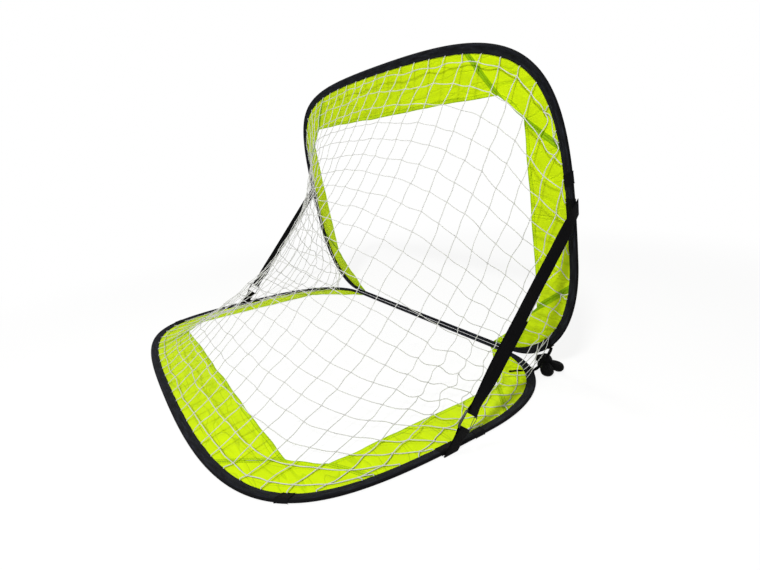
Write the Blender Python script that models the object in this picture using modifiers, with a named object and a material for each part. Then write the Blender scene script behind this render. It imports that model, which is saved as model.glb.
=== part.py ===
"""Pop-up soccer goal: two sprung hoops hinged along the goal line, with a net between them.

Metres, +Z up. The origin is the middle of the goal line, on the ground. +X runs along the goal
line, and +Y runs back under the net. One hoop lies on the ground and the other stands up from the
goal line. Left and right are a player's who faces the mouth, so left is -X.
"""
import math
from collections import namedtuple

import bmesh
import bpy
from mathutils import Matrix, Vector

# Overall sizes of the two hoops, measured on the outer edge of their binding
HALF_WIDTH = 0.600
GROUND_DEPTH = 0.790
UPRIGHT_HEIGHT = 0.762
FRAME_ANGLE = math.radians(82.0)
HINGE_HALF = 0.387

# Shape of a hoop's half outline: two cubic curves that meet at its widest point
WIDEST_SHARE = 0.37
HINGE_REACH = 0.544
LOW_REACH = 0.639
HIGH_REACH = 0.898
FAR_REACH = 0.929
LOW_STEPS = 9
HIGH_STEPS = 16
SHORTEST_STEP = 0.02
SHARP_ANGLE = math.radians(50.0)

# Rod, its ferrule and the tape that is folded round it
GAP = 0.0003
ROD_RADIUS = 0.0020
FERRULE_WALL = 0.0006
FERRULE_LENGTH = 0.050
BORE_SIDES = 10
TAPE = 0.0008
BINDING_WIDTH = 0.021
BINDING_WIDTH_AT_HINGE = 0.012
BINDING_TAPER = 0.100
FERRULE_OUTER = ROD_RADIUS + GAP + FERRULE_WALL
BORE = FERRULE_OUTER + GAP
NOSE = BORE + TAPE
THICKNESS = 2 * NOSE
HINGE_FLAP = 0.005
SLEEVE_EDGE = 0.001
AXIS_HEIGHT = THICKNESS + GAP

# Fabric border, its seams and the opening that it frames
FABRIC = 0.0006
FABRIC_LOW = TAPE + GAP
FABRIC_INSET = NOSE + BORE + GAP
GROUND_BAND = 0.145
UPRIGHT_BAND = 0.134
OPENING_HALF = 0.488
CORNER_CUT_X = 0.062
CORNER_CUT_Y = 0.055
OPENING_HINGE_HALF = 0.335
OPENING_LOW = 0.150
SEAM_FAR_X = 0.335
SEAM_SIDE_DROP = 0.258
SEAM_HINGE_Y = 0.228

# Net
NET_PITCH = 0.084
THREAD = 0.0030
NET_SAG = 0.17
NET_END_LENGTH = 0.16
NET_SHORTEST_END = 0.35
NET_STEPS = 60
NET_SEARCH = 0.001

# Cuffs, side straps and their clips; a cuff or wrap starts this far round the binding's nose
OVER_START = math.radians(212.0)
CUFF_LENGTH = 0.024
CUFFS_ON_GROUND = ((-1, 0.316), (-1, 0.690), (1, 0.660))
CUFF_ON_UPRIGHT = (-1, 0.453)
WRAP_TAPE = 0.0010
WRAP_LENGTH = 0.040
STRAP_ON_UPRIGHT = 0.395
STRAP_ON_GROUND = 0.395
STRAP_WIDTH = 0.025
STRAP_TAPE = 0.0016
STRAP_STANDOFF = 0.0008
STRAP_FOLD_BACK = 0.200
STRAP_EASE = 0.018
CLIP_RISE = 0.062
CLIP_HALF_WIDTH = 0.0165
CLIP_HALF_LENGTH = 0.0170
CLIP_WIRE = 0.0020
CLIP_SPINE_SCALE = 1.2
CLIP_CORNER = 0.004
GATE_HALF = 0.011
GATE_WIRE = 0.0006
GATE_PIVOT_INSET = 0.002
CUT_HEIGHT = 0.001

# Storage tie, knotted round the left hinge corner
TIE_ON_GROUND = 0.036
TIE_ON_UPRIGHT = 0.056
TIE_WIDTH = 0.018
TIE_TAPE = 0.0014
KNOT_FROM_HOOP = Vector((-0.0060, -0.0350, 0.0150))
KNOT_RADII = Vector((0.018, 0.016, 0.0165))
KNOT_SIDES = 14
KNOT_RINGS = 8
BOW_LONG_FROM_KNOT = Vector((-0.040, -0.014, -0.007))
BOW_SHORT_FROM_KNOT = Vector((-0.036, 0.034, -0.007))
BOW_RADIUS = 0.0095
LINK_RADIUS = 0.0038
TAIL_LENGTH = 0.034
TAIL_RADIUS = 0.0022
LINK_GAP = 0.0005

# Turns a flat outline so that it is extruded along the goal line
SIDEWAYS = Matrix(((0, 0, 1, 0), (1, 0, 0, 0), (0, 1, 0, 0), (0, 0, 0, 1)))
FOLD_AXIS = Matrix.Translation((0.0, 0.0, AXIS_HEIGHT)) @ Matrix.Rotation(FRAME_ANGLE, 4, "X")

Finish = namedtuple("Finish", "colour roughness metallic")
LIME = Finish((0.62, 0.83, 0.01), 0.6, 0.0)
BLACK_TAPE = Finish((0.015, 0.015, 0.018), 0.8, 0.0)
BLACK_WEB = Finish((0.008, 0.008, 0.010), 0.8, 0.0)
BLACK_METAL = Finish((0.02, 0.02, 0.02), 0.35, 0.6)
WHITE_THREAD = Finish((0.80, 0.80, 0.78), 0.7, 0.0)
GLASS_FIBRE = Finish((0.35, 0.36, 0.36), 0.4, 0.0)
BRIGHT_METAL = Finish((0.70, 0.70, 0.70), 0.3, 1.0)

Hoop = namedtuple("Hoop", "name length band base side parent")
Station = namedtuple("Station", "point inward")
Strap = namedtuple("Strap", "top foot down out across length")
PARTS = bpy.data.collections.new("pop_up_soccer_goal")


def clear_scene():
    """Remove whatever the scene holds."""
    for item in list(bpy.data.objects):
        bpy.data.objects.remove(item, do_unlink=True)


def new_material(name, finish):
    """A plain Principled material."""
    material = bpy.data.materials.new(name)
    material.use_nodes = True
    shader = material.node_tree.nodes["Principled BSDF"]
    shader.inputs["Base Color"].default_value = (*finish.colour, 1.0)
    shader.inputs["Roughness"].default_value = finish.roughness
    shader.inputs["Metallic"].default_value = finish.metallic
    return material


def add_object(name, data, finish, parent=None):
    """Link a mesh or a curve as a named part with its own material."""
    part = bpy.data.objects.new(name, data)
    data.materials.append(new_material(name, finish))
    PARTS.objects.link(part)
    part.parent = parent
    return part


def loft(rings, closed=False):
    """A mesh through rings of equally many points, capped at its ends unless it is closed."""
    mesh = bpy.data.meshes.new("loft")
    work = bmesh.new()
    rows = [[work.verts.new(point) for point in ring] for ring in rings]
    pairs = list(zip(rows, rows[1:]))
    if closed:
        pairs.append((rows[-1], rows[0]))
    count = len(rows[0])
    for first, second in pairs:
        for i in range(count):
            j = (i + 1) % count
            work.faces.new((first[i], first[j], second[j], second[i]))
    if not closed:
        work.faces.new(rows[0])
        work.faces.new(rows[-1])
    bmesh.ops.recalc_face_normals(work, faces=work.faces)
    work.to_mesh(mesh)
    work.free()
    mesh.shade_smooth()
    mesh.set_sharp_from_angle(angle=SHARP_ANGLE)
    return mesh


def tube(points, radius, radii=None, sides=2):
    """A round wire through points, with filled ends."""
    curve = bpy.data.curves.new("tube", "CURVE")
    curve.dimensions = "3D"
    curve.bevel_depth = radius
    curve.bevel_resolution = sides
    curve.use_fill_caps = True
    spline = curve.splines.new("POLY")
    spline.points.add(len(points) - 1)
    for i, point in enumerate(points):
        spline.points[i].co = (*point, 1.0)
        spline.points[i].radius = radii[i] if radii else 1.0
    return curve


def plate(outlines, thickness):
    """A flat piece of the given thickness; outlines after the first are holes."""
    curve = bpy.data.curves.new("plate", "CURVE")
    curve.dimensions = "2D"
    curve.fill_mode = "BOTH"
    curve.extrude = thickness / 2
    for outline_points in outlines:
        spline = curve.splines.new("POLY")
        spline.points.add(len(outline_points) - 1)
        for i, point in enumerate(outline_points):
            spline.points[i].co = (point[0], point[1], 0.0, 1.0)
        spline.use_cyclic_u = True
    return curve


def circle(centre, radius, count):
    """Corner points of a round hole or bar."""
    steps = [2 * math.pi * (i + 0.5) / count for i in range(count)]
    return [(centre[0] + radius * math.cos(a), centre[1] + radius * math.sin(a)) for a in steps]


def ease(share):
    """Smooth step from 0 to 1."""
    share = min(max(share, 0.0), 1.0)
    return share * share * (3 - 2 * share)


def curve_stations(p0, p1, p2, p3, steps):
    """Points and inward directions along one cubic, its first point left out."""
    found = []
    for i in range(1, steps + 1):
        t = i / steps
        s = 1 - t
        point = s**3 * p0 + 3 * s * s * t * p1 + 3 * s * t * t * p2 + t**3 * p3
        slope = s * s * (p1 - p0) + 2 * s * t * (p2 - p1) + t * t * (p3 - p2)
        slope.normalize()
        found.append(Station(point, Vector((-slope.y, slope.x))))
    return found


def outline(length):
    """The hoop's outer edge from the right end of its hinge round to the left end."""
    widest = WIDEST_SHARE * length
    side = Vector((HALF_WIDTH, widest))
    start = Vector((HINGE_HALF, 0.0))
    far = Vector((0.0, length))
    half = [Station(start, Vector((0.0, 1.0)))]
    half += curve_stations(
        start,
        Vector((HINGE_HALF + HINGE_REACH * (HALF_WIDTH - HINGE_HALF), 0.0)),
        Vector((HALF_WIDTH, widest * (1 - LOW_REACH))),
        side,
        LOW_STEPS,
    )
    half += curve_stations(
        side,
        Vector((HALF_WIDTH, widest + HIGH_REACH * (length - widest))),
        Vector((FAR_REACH * HALF_WIDTH, length)),
        far,
        HIGH_STEPS,
    )
    other = [Station(Vector((-s.point.x, s.point.y)), Vector((-s.inward.x, s.inward.y))) for s in half[:-1]]
    return half + other[::-1]


def between(stations, place):
    """The station at a place between two of them, on the same straight faces."""
    i = min(int(place), len(stations) - 2)
    share = place - i
    first, second = stations[i], stations[i + 1]
    return Station(first.point.lerp(second.point, share), first.inward.lerp(second.inward, share))


def distances(stations):
    """Length along the outline up to each station."""
    found = [0.0]
    for first, second in zip(stations, stations[1:]):
        found.append(found[-1] + (second.point - first.point).length)
    return found


def place_at_height(stations, y, sign):
    """Where the outline of one side passes the height y."""
    for i in range(len(stations) // 2):
        low, high = stations[i].point.y, stations[i + 1].point.y
        if low <= y <= high:
            place = i + (y - low) / (high - low)
            return place if sign > 0 else len(stations) - 1 - place
    raise ValueError("the outline does not reach this height")


def place_at_distance(stations, distance):
    """The place that lies a distance along the outline."""
    lengths = distances(stations)
    for i in range(len(stations) - 1):
        if distance <= lengths[i + 1]:
            return i + (distance - lengths[i]) / (lengths[i + 1] - lengths[i])
    return float(len(stations) - 1)


def in_hoop(hoop, point, rise):
    """A point of the hoop's plane, raised from its flat side towards the net."""
    return Vector((point.x, point.y, hoop.base + hoop.side * rise))


def to_world(hoop, point):
    """The hoop's own coordinates as world coordinates."""
    return point if hoop.parent is None else FOLD_AXIS @ point


def tangent_angle(end, radius):
    """Angle on a circle round the rod where a straight leg to end touches its net side."""
    away = Vector(end) - Vector((NOSE, NOSE))
    return math.atan2(away.y, away.x) + math.acos(radius / away.length)


def arc(radius, first, last, steps):
    """Points on a circle round the rod."""
    angles = [first + (last - first) * i / steps for i in range(steps + 1)]
    return [(NOSE + radius * math.cos(a), NOSE + radius * math.sin(a)) for a in angles]


def binding_section(width):
    """Folded tape: a flat leg, a nose round the rod and a leg that slopes down to the fabric."""
    slot_top = FABRIC_LOW + FABRIC + GAP
    outer_top = slot_top + TAPE
    top_outer = tangent_angle((width, outer_top), NOSE)
    top_inner = tangent_angle((width, slot_top), BORE)
    bottom = 1.5 * math.pi
    section = [(width, 0.0)]
    section += arc(NOSE, bottom, top_outer, 5)
    section += [(width, outer_top), (width, slot_top)]
    section += arc(BORE, top_inner, bottom, 4)
    section += [(width, TAPE)]
    return section


def over_section(width, thickness):
    """A second layer of tape over the nose and the net side of the binding."""
    outer_top = FABRIC_LOW + FABRIC + GAP + TAPE
    inner_end = (width, outer_top + GAP)
    outer_end = (width, outer_top + GAP + thickness)
    inner = arc(NOSE + GAP, OVER_START, tangent_angle(inner_end, NOSE + GAP), 4)
    outer = arc(NOSE + GAP + thickness, OVER_START, tangent_angle(outer_end, NOSE + GAP + thickness), 4)
    return outer + [outer_end, inner_end] + inner[::-1]


def leg_width(distance, total):
    """Width of the binding, which narrows towards both ends of the hinge."""
    near = min(distance, total - distance)
    return BINDING_WIDTH_AT_HINGE + (BINDING_WIDTH - BINDING_WIDTH_AT_HINGE) * ease(near / BINDING_TAPER)


def section_ring(hoop, station, section):
    """The corners of a section that stands on the outline at a station."""
    return [in_hoop(hoop, station.point + station.inward * u, w) for u, w in section]


def build_binding(hoop):
    """The folded tape from one end of the hinge round to the other."""
    stations = outline(hoop.length)
    lengths = distances(stations)
    rings = []
    for station, distance in zip(stations, lengths):
        section = binding_section(leg_width(distance, lengths[-1]))
        rings.append(section_ring(hoop, station, section))
    add_object(f"{hoop.name}_binding", loft(rings), BLACK_TAPE, hoop.parent)


def distance_at_height(stations, y, sign):
    """Length along the outline up to the point where one side passes the height y."""
    place = place_at_height(stations, y, sign)
    whole = int(place)
    before = distances(stations)[whole]
    return before + (between(stations, place).point - stations[whole].point).length


def build_over_tape(name, hoop, sign, height, length, thickness, finish):
    """A short second layer of tape on one side of the hoop, such as a cuff or a wrap."""
    stations = outline(hoop.length)
    middle = distance_at_height(stations, height, sign)
    width = leg_width(middle, distances(stations)[-1])
    section = over_section(width, thickness)
    first = place_at_distance(stations, middle - length / 2)
    last = place_at_distance(stations, middle + length / 2)
    inner = [i for i in range(len(stations)) if first + SHORTEST_STEP < i < last - SHORTEST_STEP]
    rings = [section_ring(hoop, between(stations, place), section) for place in [first, *inner, last]]
    add_object(name, loft(rings), finish, hoop.parent)


def build_rod(hoop):
    """The sprung rod, whose two ends meet in a ferrule on the goal line, and the ferrule."""
    up = Vector((0.0, 1.0))
    end = Vector((GAP / 2, 0.0))
    path = [Station(end, up), *outline(hoop.length), Station(-end, up)]
    points = [in_hoop(hoop, s.point + s.inward * NOSE, NOSE) for s in path]
    rod = tube(points, ROD_RADIUS, sides=1)
    add_object(f"{hoop.name}_rod", rod, GLASS_FIBRE, hoop.parent)
    rings = [circle((0.0, 0.0), radius, BORE_SIDES) for radius in (FERRULE_OUTER, ROD_RADIUS + GAP)]
    sleeve = plate(rings, FERRULE_LENGTH)
    ferrule = add_object(f"{hoop.name}_ferrule", sleeve, BRIGHT_METAL, hoop.parent)
    ferrule.matrix_local = Matrix.Translation(in_hoop(hoop, Vector((0.0, NOSE)), NOSE)) @ SIDEWAYS


def build_hinge_sleeve(hoop):
    """The sewn sleeve that holds the rod along the goal line; the ground one has a flat flap."""
    edge, high = SLEEVE_EDGE, THICKNESS
    profile = [(high - edge, 0.0), (high, edge), (high, high - edge), (high - edge, high), (0.0, high)]
    if hoop.parent is None:
        profile += [(0.0, TAPE), (-HINGE_FLAP, TAPE), (-HINGE_FLAP, 0.0)]
    else:
        profile += [(0.0, edge), (edge, 0.0)]
    profile = [(u, hoop.base + hoop.side * w) for u, w in profile]
    bore = circle((NOSE, hoop.base + hoop.side * NOSE), BORE, BORE_SIDES)
    sleeve = plate([profile, bore], 2 * (HINGE_HALF - GAP))
    part = add_object(f"{hoop.name}_hinge_sleeve", sleeve, BLACK_TAPE, hoop.parent)
    part.matrix_local = SIDEWAYS


def shift_seam(first, second, offset):
    """Move a seam's two ends square to it."""
    along = (second - first).normalized()
    square = Vector((-along.y, along.x)) * offset
    return first + square, second + square


def build_border(hoop):
    """The seven pieces of fabric that frame the hoop's open middle."""
    stations = outline(hoop.length)
    inset = [s.point + s.inward * FABRIC_INSET for s in stations]
    count = len(inset) - 1
    top = hoop.length - hoop.band
    corner_far = Vector((OPENING_HALF - CORNER_CUT_X, top))
    corner_side = Vector((OPENING_HALF, top - CORNER_CUT_Y))
    corner_low = Vector((OPENING_HALF, OPENING_LOW))
    corner_hinge = Vector((OPENING_HINGE_HALF, THICKNESS + GAP))

    def crossing(axis, value):
        for i in range(count // 2):
            a, b = inset[i][axis], inset[i + 1][axis]
            if min(a, b) <= value <= max(a, b) and (axis == 1 or inset[i].y > top / 2):
                share = (value - a) / (b - a)
                return i + share, inset[i].lerp(inset[i + 1], share)
        raise ValueError("a seam misses the border")

    seams = [
        (*crossing(1, THICKNESS + GAP), corner_hinge),
        (*crossing(1, SEAM_HINGE_Y), corner_low),
        (*crossing(1, hoop.length - SEAM_SIDE_DROP), corner_side),
        (*crossing(0, SEAM_FAR_X), corner_far),
    ]
    for sign, side_name in ((1, "right"), (-1, "left")):
        for i, piece in enumerate(("hinge_corner", "side_band", "far_corner")):
            place_a, outer_a, inner_a = seams[i]
            place_b, outer_b, inner_b = seams[i + 1]
            if i > 0:
                outer_a, inner_a = shift_seam(outer_a, inner_a, -GAP / 2)
            outer_b, inner_b = shift_seam(outer_b, inner_b, GAP / 2)
            run = [inset[k] for k in range(count) if place_a + SHORTEST_STEP < k < place_b - SHORTEST_STEP]
            points = [inner_a, outer_a] + run + [outer_b, inner_b]
            add_fabric(f"{hoop.name}_{piece}_{side_name}", hoop, [(sign * p.x, p.y) for p in points])
    place, outer, inner = seams[3]
    outer, inner = shift_seam(outer, inner, -GAP / 2)
    near, off = place + SHORTEST_STEP, count - place - SHORTEST_STEP
    run = [inset[k] for k in range(count + 1) if near < k < off]
    points = [inner, outer] + run + [Vector((-outer.x, outer.y)), Vector((-inner.x, inner.y))]
    add_fabric(f"{hoop.name}_far_band", hoop, [(p.x, p.y) for p in points])


def add_fabric(name, hoop, points):
    """One flat piece of the border, between the two legs of the binding."""
    part = add_object(name, plate([points], FABRIC), LIME, hoop.parent)
    part.location = in_hoop(hoop, Vector((0.0, 0.0)), FABRIC_LOW + FABRIC / 2)


def net_end(hoop, share):
    """Where the thread at a share of the outline is tied to the hoop, beside the binding's edge."""
    stations = outline(hoop.length)
    total = distances(stations)[-1]
    station = between(stations, place_at_distance(stations, share * total))
    inset = BINDING_WIDTH + GAP + THREAD / 2
    rise = FABRIC_LOW + FABRIC + GAP + THREAD / 2
    return to_world(hoop, in_hoop(hoop, station.point + station.inward * inset, rise))


def net_column(share):
    """Even points along one hanging thread: its two ends, and points counted from its middle."""
    low = net_end(HOOPS["ground"], share)
    high = net_end(HOOPS["upright"], share)
    chord = (high - low).length
    towards_hinge = Vector((0.0, -1.0, -1.0)).normalized()
    fine = []
    for i in range(NET_STEPS + 1):
        t = i / NET_STEPS
        point = low.lerp(high, t) + towards_hinge * (NET_SAG * chord * 4 * t * (1 - t))
        point.z = max(point.z, low.z)
        fine.append(point)
    lengths = [0.0]
    for first, second in zip(fine, fine[1:]):
        lengths.append(lengths[-1] + (second - first).length)
    middle = lengths[-1] / 2
    rows = int(middle / NET_PITCH - NET_SHORTEST_END)
    found = [low]
    for k in range(-rows, rows + 1):
        wanted = middle + k * NET_PITCH
        i = next(n for n in range(NET_STEPS) if lengths[n + 1] >= wanted)
        found.append(fine[i].lerp(fine[i + 1], (wanted - lengths[i]) / (lengths[i + 1] - lengths[i])))
    found.append(high)
    return found


def build_net():
    """The net as a lattice: hanging threads tied to both hoops, crossed by rows of threads."""
    total = distances(outline(GROUND_DEPTH))[-1]
    first = 0.0
    while (net_end(HOOPS["ground"], first) - net_end(HOOPS["upright"], first)).length < NET_END_LENGTH:
        first += NET_SEARCH
    count = round((1 - 2 * first) * total / NET_PITCH)
    columns = [net_column(first + (1 - 2 * first) * i / count) for i in range(count + 1)]
    work = bmesh.new()
    rows = [[work.verts.new(point) for point in column] for column in columns]
    for left, right in zip(rows, rows[1:]):
        half_left, half_right = len(left) // 2, len(right) // 2
        shared = min(half_left, half_right) - 1
        for k in range(-shared, shared):
            i, j = half_left + k, half_right + k
            work.faces.new((left[i], left[i + 1], right[j + 1], right[j]))
        work.faces.new(left[: half_left - shared + 1] + right[: half_right - shared + 1][::-1])
        work.faces.new(left[half_left + shared:] + right[half_right + shared:][::-1])
    bmesh.ops.recalc_face_normals(work, faces=work.faces)
    mesh = bpy.data.meshes.new("net")
    work.to_mesh(mesh)
    work.free()
    net = add_object("net", mesh, WHITE_THREAD)
    wires = net.modifiers.new("threads", "WIREFRAME")
    wires.thickness = THREAD
    wires.use_even_offset = False
    wires.use_boundary = True
    wires.use_replace = True


def strap_seat(hoop, sign, height):
    """Middle of the strap's plane beside the outermost point of the wrap on a hoop."""
    stations = outline(hoop.length)
    low, high = height - WRAP_LENGTH / 2, height + WRAP_LENGTH / 2
    ends = [between(stations, place_at_height(stations, y, sign)) for y in (low, high)]
    widest = max(abs(s.point.x) for s in ends + [s for s in stations if low < s.point.y < high])
    out = GAP + WRAP_TAPE + STRAP_STANDOFF + STRAP_TAPE + GAP / 2
    return to_world(hoop, in_hoop(hoop, Vector((sign * (widest + out), height)), NOSE))


def strap_line(sign):
    """Where one side's strap runs, and the directions down it, out of its face and across it."""
    top = strap_seat(HOOPS["upright"], sign, STRAP_ON_UPRIGHT)
    foot = strap_seat(HOOPS["ground"], sign, STRAP_ON_GROUND)
    down = (foot - top).normalized()
    out = Vector((sign, 0.0, 0.0))
    out = (out - down * out.dot(down)).normalized()
    return Strap(top, foot, down, out, out.cross(down) * sign, (foot - top).length)


def ribbon(start, along, strap, path, start_cut, end_cut):
    """Webbing along a path of (distance, outward) pairs, its ends cut on a slant."""
    half = STRAP_WIDTH / 2
    rings = []
    for i, here in enumerate(path):
        before, after = path[max(i - 1, 0)], path[min(i + 1, len(path) - 1)]
        slope = Vector((after[0] - before[0], after[1] - before[1])).normalized()
        normal = Vector((-slope.y, slope.x)) * (STRAP_TAPE / 2)
        ring = []
        for face, edge in ((1, 1), (1, -1), (-1, -1), (-1, 1)):
            reach = here[0] + face * normal.x
            if i == 0:
                reach = start_cut(edge * half)
            elif i == len(path) - 1:
                reach = end_cut(edge * half)
            rise = here[1] + face * normal.y
            ring.append(start + along * reach + strap.out * rise + strap.across * (edge * half))
        rings.append(ring)
    return loft(rings)


def turned_path(first, bar, last):
    """A strap's path: up to a bar, round it, and back beside itself."""
    layer = (STRAP_TAPE + GAP) / 2
    turn = CLIP_WIRE + 2 * GAP + STRAP_TAPE / 2
    eases = [i / 4 for i in range(1, 4)]
    path = [(first, -layer), (bar - STRAP_EASE, -layer)]
    path += [(bar - STRAP_EASE * (1 - s), -layer - (turn - layer) * ease(s)) for s in eases]
    angles = [-math.pi / 2 + math.pi * i / 8 for i in range(9)]
    path += [(bar + turn * math.cos(a), turn * math.sin(a)) for a in angles]
    path += [(bar - STRAP_EASE * s, layer + (turn - layer) * ease(1 - s)) for s in eases]
    path += [(bar - STRAP_EASE, layer), (last, layer)]
    return path


def build_side_strap(strap, side_name):
    """The strap from its wrap on the upright hoop down to the clip, and its doubled end."""
    bar = strap.length - CLIP_RISE - CLIP_HALF_LENGTH
    last = bar - STRAP_FOLD_BACK
    net_side = FOLD_AXIS.to_3x3() @ Vector((0.0, 0.0, -1.0))

    def cut_along_upright(offset):
        return -(NOSE + offset * strap.across.dot(net_side)) / strap.down.dot(net_side)

    def cut_square(offset):
        return last

    path = turned_path(0.0, bar, last)
    mesh = ribbon(strap.top, strap.down, strap, path, cut_along_upright, cut_square)
    add_object(f"side_strap_{side_name}", mesh, BLACK_WEB)


def build_tab(strap, side_name):
    """The short doubled tab that stands up from its wrap on the ground hoop to the clip."""
    up = -strap.down

    def cut_at_ground(offset):
        return (CUT_HEIGHT - strap.foot.z - offset * strap.across.z) / up.z

    path = turned_path(0.0, CLIP_RISE - CLIP_HALF_LENGTH, 0.0)
    mesh = ribbon(strap.foot, up, strap, path, cut_at_ground, cut_at_ground)
    add_object(f"clip_tab_{side_name}", mesh, BLACK_WEB)


def clip_point(strap, across, down, out=0.0):
    """A point of the clip, measured from its middle."""
    middle = strap.foot - strap.down * CLIP_RISE
    return middle + strap.across * across + strap.down * down + strap.out * out


def rounded_corner(x, y, turn_x, turn_y, first):
    """Three points round a corner of the clip, from the side named first."""
    centre = Vector((x - turn_x * CLIP_CORNER, y - turn_y * CLIP_CORNER))
    angles = [0.0, math.pi / 4, math.pi / 2]
    if first == "end":
        angles.reverse()
    reach = CLIP_CORNER
    return [centre + Vector((turn_x * reach * math.cos(a), turn_y * reach * math.sin(a))) for a in angles]


def build_clip(strap, sign, side_name):
    """The open wire clip and its sprung gate."""
    wide, tall = CLIP_HALF_WIDTH, CLIP_HALF_LENGTH
    outline_points = [Vector((-wide, -GATE_HALF))]
    outline_points += rounded_corner(-wide, -tall, -1, -1, "side")
    outline_points += rounded_corner(wide, -tall, 1, -1, "end")
    outline_points += rounded_corner(wide, tall, 1, 1, "side")
    outline_points += rounded_corner(-wide, tall, -1, 1, "end")
    outline_points.append(Vector((-wide, GATE_HALF)))
    radii = [CLIP_SPINE_SCALE if p.x > wide - CLIP_CORNER / 2 else 1.0 for p in outline_points]
    points = [clip_point(strap, p.x, p.y) for p in outline_points]
    add_object(f"clip_{side_name}", tube(points, CLIP_WIRE, radii), BLACK_METAL)

    pivot_down = -GATE_HALF - GATE_PIVOT_INSET
    pivot = bpy.data.objects.new(f"gate_pivot_{side_name}", None)
    pivot.location = clip_point(strap, -wide, pivot_down)
    PARTS.objects.link(pivot)
    apart = CLIP_WIRE + GAP + GATE_WIRE
    tip = GATE_HALF - GAP - GATE_WIRE
    half = [(pivot_down, apart), (-0.8 * GATE_HALF, apart)]
    half.append((tip - 4 * GATE_WIRE, 2.4 * GATE_WIRE))
    half += [(tip - GATE_WIRE, 2 * GATE_WIRE), (tip, GATE_WIRE)]
    steps = half + [(down, -out) for down, out in half[::-1]]
    wire = [clip_point(strap, -wide, down, out) - pivot.location for down, out in steps]
    add_object(f"clip_gate_{side_name}", tube(wire, GATE_WIRE), BLACK_METAL, pivot)


def knot_surface(middle, target):
    """The point a little outside the knot, on the way from its middle to a target."""
    away = target - middle
    scaled = Vector((away.x / KNOT_RADII.x, away.y / KNOT_RADII.y, away.z / KNOT_RADII.z))
    return middle + away / scaled.length + away.normalized() * LINK_GAP


def spindle(start, end, radius, end_share):
    """A soft strand that is thin at its start, full in its middle and rounded at its end."""
    shares = (0.0, 0.12, 0.35, 0.65, 0.9, 1.0)
    full = (0.3, 0.6, 0.95, 1.0, max(end_share, 0.8), end_share)
    return tube([start.lerp(end, s) for s in shares], radius, full)


def build_tie():
    """The storage tie: a wrap on each hoop, a knot between them, its two bows and its tail."""
    ground, upright = HOOPS["ground"], HOOPS["upright"]
    ends = {}
    for hoop, height in ((ground, TIE_ON_GROUND), (upright, TIE_ON_UPRIGHT)):
        build_over_tape(f"{hoop.name}_tie_wrap", hoop, -1, height, TIE_WIDTH, TIE_TAPE, BLACK_WEB)
        stations = outline(hoop.length)
        station = between(stations, place_at_height(stations, height, -1))
        out = GAP + TIE_TAPE + 2 * LINK_GAP
        ends[hoop.name] = to_world(hoop, in_hoop(hoop, station.point - station.inward * out, NOSE))
    stations = outline(ground.length)
    station = between(stations, place_at_height(stations, TIE_ON_GROUND, -1))
    middle = in_hoop(ground, station.point, NOSE) + KNOT_FROM_HOOP
    knot = bmesh.new()
    bmesh.ops.create_uvsphere(knot, u_segments=KNOT_SIDES, v_segments=KNOT_RINGS, radius=1.0)
    bmesh.ops.scale(knot, vec=KNOT_RADII, verts=knot.verts)
    mesh = bpy.data.meshes.new("knot")
    knot.to_mesh(mesh)
    knot.free()
    mesh.shade_smooth()
    add_object("tie_knot", mesh, BLACK_WEB).location = middle
    for hoop_name in ("ground", "upright"):
        end = ends[hoop_name]
        strand = spindle(end, knot_surface(middle, end), LINK_RADIUS, 0.3)
        add_object(f"tie_link_{hoop_name}", strand, BLACK_WEB)
    for name, reach in (("long", BOW_LONG_FROM_KNOT), ("short", BOW_SHORT_FROM_KNOT)):
        strand = spindle(knot_surface(middle, middle + reach), middle + reach, BOW_RADIUS, 0.55)
        add_object(f"tie_bow_{name}", strand, BLACK_WEB)
    width = leg_width(distance_at_height(stations, TIE_ON_GROUND, -1), distances(stations)[-1])
    rise = FABRIC_LOW + FABRIC + LINK_GAP + TAIL_RADIUS
    first = station.point + station.inward * (width + TAIL_RADIUS + GAP)
    last = first + station.inward * TAIL_LENGTH
    tail = [in_hoop(ground, first.lerp(last, s), rise) for s in (0.0, 0.5, 0.9, 1.0)]
    add_object("tie_tail", tube(tail, TAIL_RADIUS, [0.9, 0.9, 1.0, 0.7]), BLACK_WEB)


HOOPS = {}


def main():
    """Build the whole goal."""
    clear_scene()
    bpy.context.scene.collection.children.link(PARTS)
    fold = bpy.data.objects.new("fold_axis", None)
    fold.matrix_world = FOLD_AXIS
    PARTS.objects.link(fold)
    HOOPS["ground"] = Hoop("ground", GROUND_DEPTH, GROUND_BAND, 0.0, 1, None)
    HOOPS["upright"] = Hoop("upright", UPRIGHT_HEIGHT, UPRIGHT_BAND, THICKNESS, -1, fold)
    for hoop in HOOPS.values():
        build_rod(hoop)
        build_binding(hoop)
        build_hinge_sleeve(hoop)
        build_border(hoop)
    ground, upright = HOOPS["ground"], HOOPS["upright"]
    cuffs = [(ground, *cuff) for cuff in CUFFS_ON_GROUND] + [(upright, *CUFF_ON_UPRIGHT)]
    for i, (hoop, sign, height) in enumerate(cuffs):
        build_over_tape(f"binding_cuff_{i + 1}", hoop, sign, height, CUFF_LENGTH, TAPE, BLACK_TAPE)
    for sign, side_name in ((1, "right"), (-1, "left")):
        for hoop, height in ((upright, STRAP_ON_UPRIGHT), (ground, STRAP_ON_GROUND)):
            name = f"{hoop.name}_strap_wrap_{side_name}"
            build_over_tape(name, hoop, sign, height, WRAP_LENGTH, WRAP_TAPE, BLACK_WEB)
        strap = strap_line(sign)
        build_side_strap(strap, side_name)
        build_tab(strap, side_name)
        build_clip(strap, sign, side_name)
    build_net()
    build_tie()


main()
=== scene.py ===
"""Pop-up soccer goal in the studio: taped sprung hoops, lime cloth border, knotted net and side straps."""
import math
from collections import defaultdict, namedtuple

import bpy
import numpy as np
from bpy.props import FloatProperty, FloatVectorProperty, IntProperty, PointerProperty
from mathutils import Euler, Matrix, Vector, noise


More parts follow.
